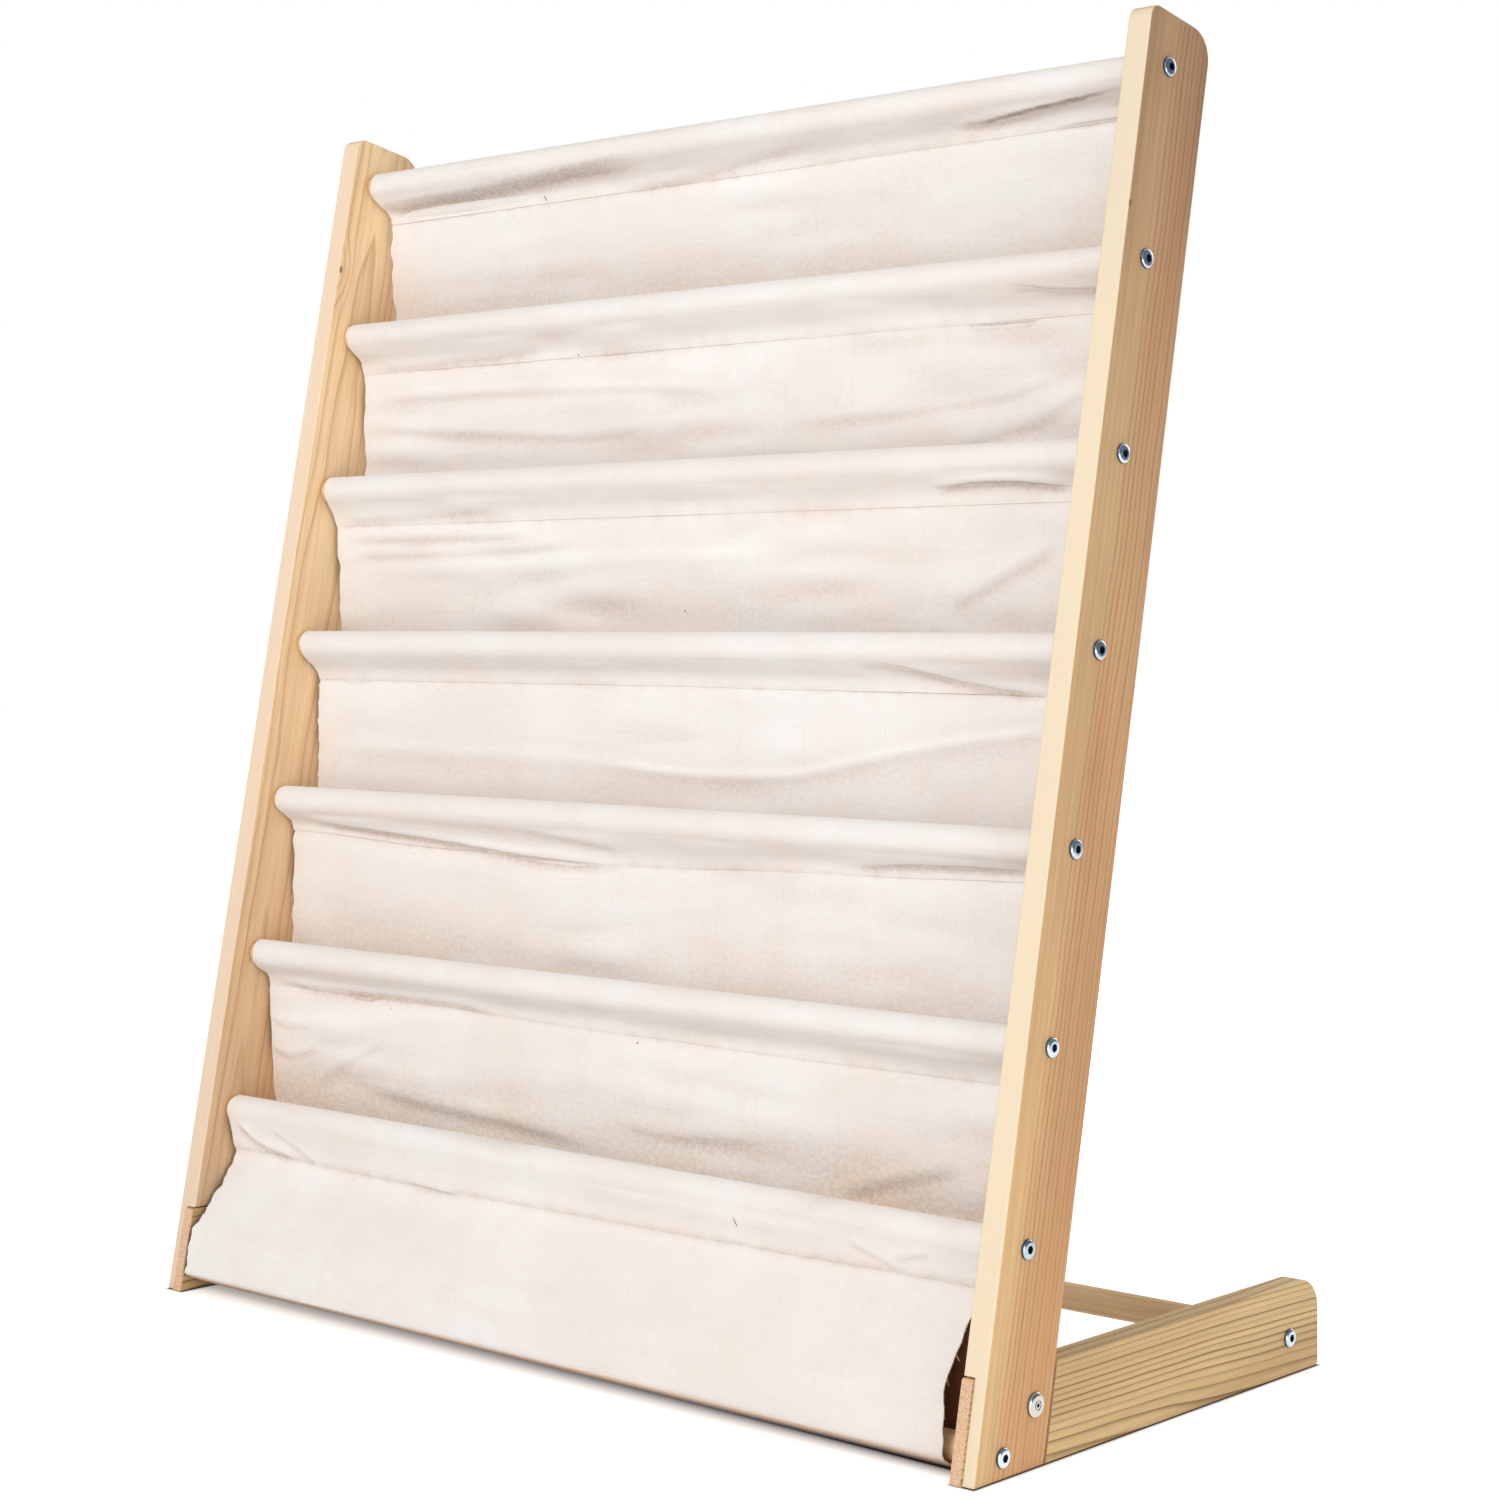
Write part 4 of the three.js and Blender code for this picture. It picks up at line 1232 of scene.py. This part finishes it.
def folds(x, span, drop):
    stand = np.zeros_like(x)
    for i, _, line, *sizes in CREASES:
        line, (lip, dip, reach) = MM * np.array(line), MM * np.array(sizes[:3])
        near = (span == i) & (drop > line[:, 1].min() - CREASE_REACHES * reach)
        away, share = from_line(line, x[near], drop[near])
        turn = (1 + np.tanh(away / (CREASE_SHARPNESS * reach))) / 2
        fall = np.exp(-(np.abs(away) / reach) ** CREASE_FALL)
        stand[near] += faded(share, CREASE_ENDS) * fall * (lip * (1 - turn) - dip * turn)
    for i, line, height, width in RIDGES:
        near = span == i
        away, share = from_line(MM * np.array(line), x[near], drop[near])
        stand[near] += faded(share, RIDGE_ENDS) * MM * height * np.exp(-(away / (MM * width)) ** 2)
    return stand


def faded(share, ends):
    """1 along a fold and less towards its two ends, from the share along it."""
    return eased_share(share * ends[0]) * eased_share((1 - share) * ends[1])


def wave(size, turns, start):
    return size * np.sin(2 * math.pi * turns + start)


def waves(draw, along, sizes, lengths):
    """Seven waves along a line, of random sizes, lengths and starts."""
    return sum(wave(draw.uniform(*sizes), along / draw.uniform(*lengths), draw.uniform(*STARTS))
               for _ in range(7))


def rumple(x, height, span):
    """Low, mostly level waves, as cotton has that was folded and then hung."""
    draw = random.Random(4)
    stand = np.zeros_like(x)
    for _ in range(RUMPLE_WAVES):
        up = draw.uniform(*RUMPLE_UP)
        across = draw.choice((-1, 1)) * draw.uniform(*RUMPLE_ACROSS)
        size = (up / 0.04) ** 0.8 * draw.uniform(0.5, 1)
        stand += wave(size, height / up + x / across, draw.uniform(*STARTS))
    patch = 0.6 + 0.4 * np.sin(x * RUMPLE_PATCHES[0] + height * RUMPLE_PATCHES[1])
    return RUMPLE_HEIGHT * stand * patch * np.array(RUMPLES)[span]


def stood_off(x, points, free):
    """Moves the cloth's places, given as x, (y, z) points and how freely each may move, off their lines."""
    height = points[..., 1]
    span, share = spans(height)
    drop = AXIS_HEIGHTS[span] - height
    seams = np.array([[seam_drop(i, column) for i in range(len(SEAM_DROPS))] for column in x[:, 0]])
    below_seam = drop - np.take_along_axis(seams, span, axis=1)
    pucker = PUCKER_HEIGHT * waves(random.Random(9), x, (0.4, 1), PUCKER_WAVES)
    groove = np.array(SEAM_GROOVES)[span] * np.exp(-(below_seam / SEAM_GROOVE_WIDTH) ** 2)
    detail = folds(x, span, drop) + rumple(x, height, span)
    detail += pucker * np.exp(-np.abs(below_seam) / PUCKER_REACH) - groove
    detail *= eased_share((height - CALM_HEIGHT) / CALM_FADE)
    moved = points.copy()
    moved[..., 0] -= free * (billow(x, span, share) + detail)
    return moved


def edge_waves(x, lengths, size, seed):
    """Lets the raw side edges wander, and gives the places' new x."""
    draw = random.Random(seed)
    moved = x.copy()
    for side, share in ((-1, 1), (1, RIGHT_EDGE_SHARE)):
        near = np.exp(-(HALF_WIDTH - side * x) / EDGE_REACH)
        moved += side * near * size * share * (waves(draw, lengths, (0.3, 1), EDGE_WAVES) - 1)
    return moved


def skirt_drawn_in(x, height, lengths):
    """The skirt's right-hand edge is drawn in towards its foot, its hem a little less."""
    edge = np.interp(height, SKIRT_EDGE_HEIGHTS, SKIRT_EDGE_IN)
    layer = eased_share((lengths - SKIRT_TURN_LENGTH) / SKIRT_HEM_HEIGHT * 2)
    return np.maximum(edge - layer * SKIRT_HEM_OUT, 0) * np.maximum(x, 0) / HALF_WIDTH


def cloth_grid(line_at, column_step, row_step=None):
    """Places of a piece of cloth as columns of rows, with each one's freedom and its length down the line."""
    columns = np.linspace(-HALF_WIDTH, HALF_WIDTH, max(2, round(2 * HALF_WIDTH / column_step)) + 1)
    counts = [max(2, round(run(points)[-1] / (row_step or step)) + 1) for points, step, _ in line_at(0.0)]
    kinds = [kind for (_, _, kind), count in zip(line_at(0.0), counts) for _ in range(count - 1)]
    lines, free = [], []
    for x in columns:
        parts, freedoms = [], []
        for (points, _, kind), count in zip(line_at(x), counts):
            skip = 1 if parts else 0
            parts.append(spaced(points, count)[skip:])
            freedoms.append(freedom(kind, np.linspace(0, 1, count))[skip:])
        lines.append(np.concatenate(parts))
        free.append(np.concatenate(freedoms))
    lengths = np.array([run(line) for line in lines])
    x = np.repeat(columns[:, None], lengths.shape[1], axis=1)
    return x, np.array(lines), np.array(free), lengths, np.array([*kinds, kinds[-1]])


def in_space(x, points):
    return np.stack([x, points[..., 0], points[..., 1]], axis=2)


def grid_mesh(name, places):
    columns, rows = places.shape[:2]
    corners = [i * rows + j for i in range(columns - 1) for j in range(rows - 1)]
    return mesh_of(name, places.reshape(-1, 3), [(k, k + rows, k + rows + 1, k + 1) for k in corners])


def smoothed(field, passes):
    for _ in range(passes):
        for axis in (0, 1):
            widths = [(1, 1) if k == axis else (0, 0) for k in range(field.ndim)]
            wide = np.moveaxis(np.pad(field, widths, mode="edge"), axis, 0)
            field = np.moveaxis((wide[:-2] + wide[1:-1] + wide[2:]) / 3, 0, axis)
    return field


def settled(name, line_at):
    """Hangs a coarse copy of the cloth under its own weight, held at its seams and its dowel.

    The result is how far each place of that copy moved, with the copy's columns and lengths.
    """
    x, points, free, lengths, _ = cloth_grid(line_at, SETTLE_STEP, SETTLE_STEP)
    start = in_space(x, stood_off(x, points, free))
    made = add_object(name + "_settling", grid_mesh(name, start))
    hold = made.vertex_groups.new(name="hold")
    inner = np.minimum(lengths, lengths[:, -1:] - lengths)
    loose = free * eased_share(inner / SETTLE_MARGIN)
    for index, share in enumerate(loose.ravel()):
        hold.add([index], float(1 - LOOSEST * share), "REPLACE")
    modifier = made.modifiers.new("cloth", "CLOTH")
    for key, value in CLOTH_SETTINGS.items():
        setattr(modifier.settings, key, value)
    modifier.point_cache.frame_end = SETTLE_FRAMES
    for step in range(1, SETTLE_FRAMES + 1):
        bpy.context.scene.frame_set(step)
    evaluated = made.evaluated_get(bpy.context.evaluated_depsgraph_get())
    end = np.array([v.co[:] for v in evaluated.data.vertices]).reshape(start.shape)
    bpy.data.objects.remove(made)
    bpy.context.scene.frame_set(1)
    moved = end - start
    size = np.linalg.norm(moved, axis=2, keepdims=True)
    return moved * np.minimum(1, SETTLE_CAP / np.maximum(size, 1e-9)), x[:, 0], lengths / lengths[:, -1:]


def carried(moved, columns, shares, x, lengths):
    """The coarse copy's movements at the places of the fine one."""
    fine_shares = lengths[0] / lengths[0, -1]
    row_shares = shares.mean(axis=0)
    result = np.zeros((*x.shape, 3))
    for k in range(3):
        down = np.array([np.interp(fine_shares, row_shares, column) for column in moved[..., k]])
        result[..., k] = np.array([np.interp(x[:, 0], columns, row) for row in down.T]).T
    return result


def relief_shade_of(stand, lengths, free):
    """How far places stand out of the cloth round them, less where it turns from the light: painted shade and
    highlight.
    """
    relief_shade = (stand - smoothed(stand, RELIEF_PASSES)) / RELIEF_DEPTH
    recedes = -np.gradient(smoothed(stand, 2), axis=1) / np.gradient(lengths, axis=1)
    relief_shade -= np.clip(recedes, *RECEDING_RANGE) * RECEDING_SHADE * (free > FREE_FROM)
    return np.clip(relief_shade, *RELIEF_RANGE)


def read(items, key, width):
    values = np.zeros(width * len(items), dtype=np.float32)
    items.foreach_get(key, values)
    return values.reshape(-1, width)


def add_values(mesh, name, values, domain="POINT"):
    layer = mesh.attributes.new(name, "FLOAT", domain)
    layer.data.foreach_set("value", np.asarray(values, dtype=np.float32).ravel())


def keep_inside(mesh):
    """Leaves the painted dark shade within the tube on the faces that look to the front, into the tube."""
    if "inside" not in mesh.attributes:
        return
    values = read(mesh.attributes["inside"].data, "value", 1)[:, 0]
    mesh.attributes.remove(mesh.attributes["inside"])
    kept = [min(values[i] for i in face.vertices) * (face.normal.y < FACING_FRONT) for face in mesh.polygons]
    add_values(mesh, "inside", kept, "FACE")


def turn_relief_shade(mesh):
    """What is painted as shaded valleys on the front of the cloth is painted as low lit ridges on its back.
    """
    layer = mesh.attributes["relief_shade"].data
    values = read(layer, "value", 1)[:, 0]
    back = read(mesh.vertex_normals, "vector", 3)[:, 1] > 0
    values = np.where(back, np.clip(-values * BACK_RELIEF, -BACK_RELIEF, 1), values)
    layer.foreach_set("value", values.astype(np.float32))


def cloth_piece(name, node, line_at, seed):
    skirt = node == "front_skirt"
    x, lines, free, lengths, kinds = cloth_grid(line_at, COLUMN_STEP)
    places = in_space(x, stood_off(x, lines, free))
    relief_shade = relief_shade_of(lines[..., 0] - places[..., 1], lengths, free)
    moved = smoothed(carried(*settled(name, line_at), x, lengths), SETTLE_PASSES)
    above = eased_share((places[..., 2] - SKIRT_HEM_HEIGHT) / SETTLE_FADE)
    places += moved * (free * above)[..., None]
    places[..., 0] = edge_waves(places[..., 0], lengths, SKIRT_EDGE_WAVE if skirt else EDGE_WAVE, seed)
    if skirt:
        places[..., 0] -= skirt_drawn_in(places[..., 0], places[..., 2], lengths)
    made = add_object(name, grid_mesh(name, places))
    flat = np.stack([x.ravel(), lengths.ravel()], axis=1)
    corners = np.array([loop.vertex_index for loop in made.data.loops])
    uv = made.data.uv_layers.new(name="Cloth")
    uv.data.foreach_set("uv", flat[corners].astype(np.float32).ravel())
    # the shares of painted shade and painted highlight at each place
    add_values(made.data, "relief_shade", relief_shade)
    # where painted warm shade falls on the free cloth
    add_values(made.data, "shelter_shade", shelter_shade_share(places[..., 2]) * (kinds == "free"))
    # painted warm shade on the lowest millimetres of the skirt, just above its toe
    if skirt:
        under = 1 - (places[..., 2] - toe_height(x)) / UNDERSIDE_FADE
        add_values(made.data, "underside_shade", np.clip(under, 0, 1))
    # painted dark shade on the hidden layers near the right end, seen through the gap at the upright
    if node in ("front_skirt", f"sling_{POCKET_COUNT}"):
        shaded = np.isin(kinds, ("wrap", "riser")) * np.clip((x - SHADE_FROM) / SHADE_FADE, 0, 1)
        add_values(made.data, "inside", shaded)
    modified(made, "SOLIDIFY", thickness=CLOTH_THICKNESS, offset=0, use_even_offset=True)
    keep_inside(made.data)
    turn_relief_shade(made.data)
    smooth(made, CLOTH_SHARP)
    finish_piece(made, [node], [COTTON])
    threads = [fray(name, places, lengths, seed)]
    if not skirt:
        threads.append(stitching(name, places))
    return made


def strands(name, lines, radius, sides):
    """Many thin round strands of thread as one piece, each from its points."""
    points, faces = [], []
    angles = [2 * math.pi * k / sides for k in range(sides)]
    for line in map(np.array, lines):
        along = np.gradient(line, axis=0)
        along /= np.linalg.norm(along, axis=1, keepdims=True)
        side = np.cross(along, STRAND_SIDE)
        side /= np.linalg.norm(side, axis=1, keepdims=True)
        other = np.cross(along, side)
        rings = [range(len(points) + j * sides, len(points) + (j + 1) * sides) for j in range(len(line))]
        points += [place + radius * (math.cos(angle) * side[j] + math.sin(angle) * other[j])
                   for j, place in enumerate(line) for angle in angles]
        faces += [face for near, far in zip(rings, rings[1:]) for face in band(near, far)]
        faces += [tuple(rings[0])[::-1], tuple(rings[-1])]
    made = add_object(name, mesh_of(name, points, faces))
    smooth(made, THREAD_SHARP)
    return finish_piece(made, [], [THREAD])


def fray(name, places, lengths, seed):
    """Short loose threads along the raw side edges, and a few long ones."""
    draw = random.Random(seed + 50)
    lines = []
    for side, column in ((-1, places[0]), (1, places[-1])):
        for _ in range(round(lengths[0, -1] / FRAY_PITCH)):
            row = draw.uniform(1, len(column) - 2)
            low = int(row)
            start = column[low] * (1 - row + low) + column[low + 1] * (row - low)
            reach = draw.choice(FRAY_REACHES) * draw.uniform(0.6, 1.2)
            down = draw.uniform(-0.5, 0.25)
            bend = draw.uniform(-0.5, 0.5)
            lines.append([start + np.array([
                side * (reach * t - FRAY_ROOT),
                reach * 0.5 * bend * t * t,
                reach * (down * t + 0.4 * bend * t * t),
            ]) for t in np.linspace(0, 1, 4)])
        for _ in range(LONG_THREADS):
            row = draw.randrange(len(column) // 8, len(column) - 4)
            reach = draw.uniform(*LONG_THREAD_REACHES)
            bends = [draw.uniform(-1, 1) for _ in range(3)]
            lines.append([column[row] + np.array([
                side * (LONG_THREAD_WAVE * math.sin(3 * t * bends[0]) * t + 0.0014 * t - FRAY_ROOT),
                -0.0012 * t + 0.0016 * bends[1] * t * t,
                -reach * t + 0.001 * bends[2] * math.sin(5 * t),
            ]) for t in np.linspace(0, 1, 8)])
    return strands(name + "_fray", lines, FRAY_RADIUS, 4)


def stitching(name, places):
    """The row of stitches that closes a sleeve, just above its seam."""
    row = places[:, -2] * 0.8 + places[:, -1] * 0.2
    out = np.cross(places[:, -1] - places[:, -3], np.gradient(row, axis=0))
    out /= np.linalg.norm(out, axis=1, keepdims=True)
    out *= np.where(out[:, 1:2] > 0, -1, 1)
    surface = row + out * (CLOTH_THICKNESS / 2 + STITCH_RADIUS * 0.4)
    lengths = run(surface)
    lines = []
    for start in np.arange(STITCH_PITCH, lengths[-1] - STITCH_PITCH, STITCH_PITCH):
        line = []
        for share, lift in STITCH_SHAPE:
            lifted = surface + out * lift * STITCH_RADIUS
            line.append([np.interp(start + share * STITCH_LENGTH, lengths, lifted[:, k]) for k in range(3)])
        lines.append(line)
    return strands(name + "_stitches", lines, STITCH_RADIUS, 6)


# Stage

def off_box(n, x, y, low, high):
    """Distance on the floor from a box, given its low and high corners."""
    beyond = [n.most(n.less(least, value), n.less(value, most), 0.0)
              for value, least, most in ((x, low[0], high[0]), (y, low[1], high[1]))]
    return n.math("SQRT", n.total(*(n.product(side, side) for side in beyond)))


def stage():
    """A white floor with a painted shadow, dark brown, where the skirt and the feet nearly touch it."""
    n = new_material("stage_white")
    x, y, _ = n.split(n.place())
    wide = n.math("ABSOLUTE", x)
    skirt_y, reach = (n.between(x, -HALF_WIDTH, HALF_WIDTH, *ends, False)
                      for ends in (SKIRT_SHADOW_Y, SKIRT_SHADOW_REACH))
    ahead = n.math("POWER", n.math("DIVIDE", n.less(skirt_y, y), reach, clamp=True), 0.6)
    beside = n.between(wide, HALF_WIDTH, OUTER, smoothly=False)
    behind = n.between(y, DOWELS[-1][0], DOWELS[-1][0] + 2 * DOWEL_RADIUS, smoothly=False)
    from_foot = off_box(n, wide, y, (INNER, FRONT_Y), (OUTER, FOOT_HIGH.y))
    off_foot = n.math("POWER", n.between(from_foot, 0.0, FOOT_SHADOW_REACH, smoothly=False), 0.5)
    # painted shadow: near the skirt and the feet the floor's colour turns dark brown and its glow fades
    out_of_painted_shadow = n.product(n.most(ahead, beside, behind), off_foot)
    material = n.surfaced(
        Base_Color=n.mix(out_of_painted_shadow, colour(84, 58, 42), colour(243, 241, 239)),
        Roughness=0.9,
        Specular_IOR_Level=0.0,
        Emission_Color=colour(255, 255, 255),
        Emission_Strength=n.product(n.seen(), out_of_painted_shadow, 0.7),
    )
    points = [(x, y, -FLOOR_GAP) for x, y in corners((-FLOOR, FLOOR), (-FLOOR, FLOOR))]
    floor = rectangle("stage_floor", points, material)


def corners(across, up):
    """The four corners of a rectangle, in order round it."""
    return [(across[0], up[0]), (across[1], up[0]), (across[1], up[1]), (across[0], up[1])]


def rectangle(name, points, material):
    made = add_object(name, mesh_of(name, points, [(0, 1, 2, 3)]))
    made.data.materials.append(material)
    return made


def dark_card():
    """The dark side of the room, which only shows as reflections in the metal."""
    material = new_material("stage_dark").surfaced(
        Base_Color=(0, 0, 0, 1),
        Specular_IOR_Level=0.0,
        Emission_Color=colour(112, 124, 138),
        Emission_Strength=1.0,
    )
    for name, side in (("stage_dark_right", 1), ("stage_dark_left", -1)):
        card = rectangle(name, [(side * CARD_X, y, z) for y, z in corners(CARD_Y, CARD_Z)], material)
        for ray in ("camera", "diffuse", "transmission", "volume_scatter", "shadow"):
            setattr(card, "visible_" + ray, False)


def world():
    """A white room, dimmer in what it sheds than in what the camera sees of it."""
    made = bpy.data.worlds.new("studio")
    bpy.context.scene.world = made
    n = Nodes(made)
    n.tree.nodes.clear()
    lit = n.add("ShaderNodeBackground", Color=colour(255, 253, 251), Strength=ROOM_LIGHT).outputs[0]
    shown = n.add("ShaderNodeBackground", Color=(1, 1, 1, 1), Strength=1.0).outputs[0]
    mixed = n.add("ShaderNodeMixShader", i0=n.seen(), i1=lit, i2=shown).outputs[0]
    n.add("ShaderNodeOutputWorld", Surface=mixed)


def lamp(name, place, target, power, size, tint):
    data = bpy.data.lights.new(name, "AREA")
    data.shape = "DISK"
    data.size = size
    data.energy = power
    data.color = tint
    made = add_object(name, data)
    made.location = place
    made.rotation_euler = (Vector(target) - Vector(place)).to_track_quat("-Z", "Y").to_euler()


def camera():
    data = bpy.data.cameras.new("camera")
    data.sensor_width = SENSOR
    data.lens = FOCAL_PIXELS / PHOTO_SIZE * SENSOR
    data.shift_x = (PHOTO_SIZE / 2 - CENTRE_PIXEL[0]) / PHOTO_SIZE
    data.shift_y = (CENTRE_PIXEL[1] - PHOTO_SIZE / 2) / PHOTO_SIZE
    made = add_object("camera", data)
    turn = Matrix.Rotation(CAMERA_YAW, 4, "Z") @ Matrix.Rotation(math.pi / 2 + CAMERA_PITCH, 4, "X")
    made.matrix_world = Matrix.Translation(CAMERA_PLACE) @ turn @ Matrix.Rotation(CAMERA_ROLL, 4, "Z")
    bpy.context.scene.camera = made


# Assembly
camera()
for side in ("right", "left"):
    upright(side)
    foot(side)
    turns = random.Random(side)
    for i, axis in enumerate(DOWELS):
        dowel_screw(side, f"dowel_screw_{i + 1}", axis, turns.uniform(0, 1))
    dowel_screw(side, "rear_dowel_screw", REAR_DOWEL, turns.uniform(0, 1))
    lap_bolt(side, turns.uniform(0, 1))
    sleeve_nut(side)
for i, axis in enumerate(DOWELS[:-1]):
    dowel(f"pocket_dowel_{i + 1}", axis)
dowel("bottom_dowel", DOWELS[-1])
dowel("rear_dowel", REAR_DOWEL)

cloth_piece("top_sleeve_cloth", "top_sleeve", top_sleeve_line, 100)
for i in range(POCKET_COUNT):
    cloth_piece(f"sling_{i + 1}_cloth", f"sling_{i + 1}", lambda x, i=i: pocket_line(i, x), 101 + i)
cloth_piece("front_skirt_cloth", "front_skirt", skirt_line, 110)

stage()
dark_card()
world()
for settings in LAMPS:
    lamp(*settings)
bpy.context.scene.view_settings.view_transform = "Standard"
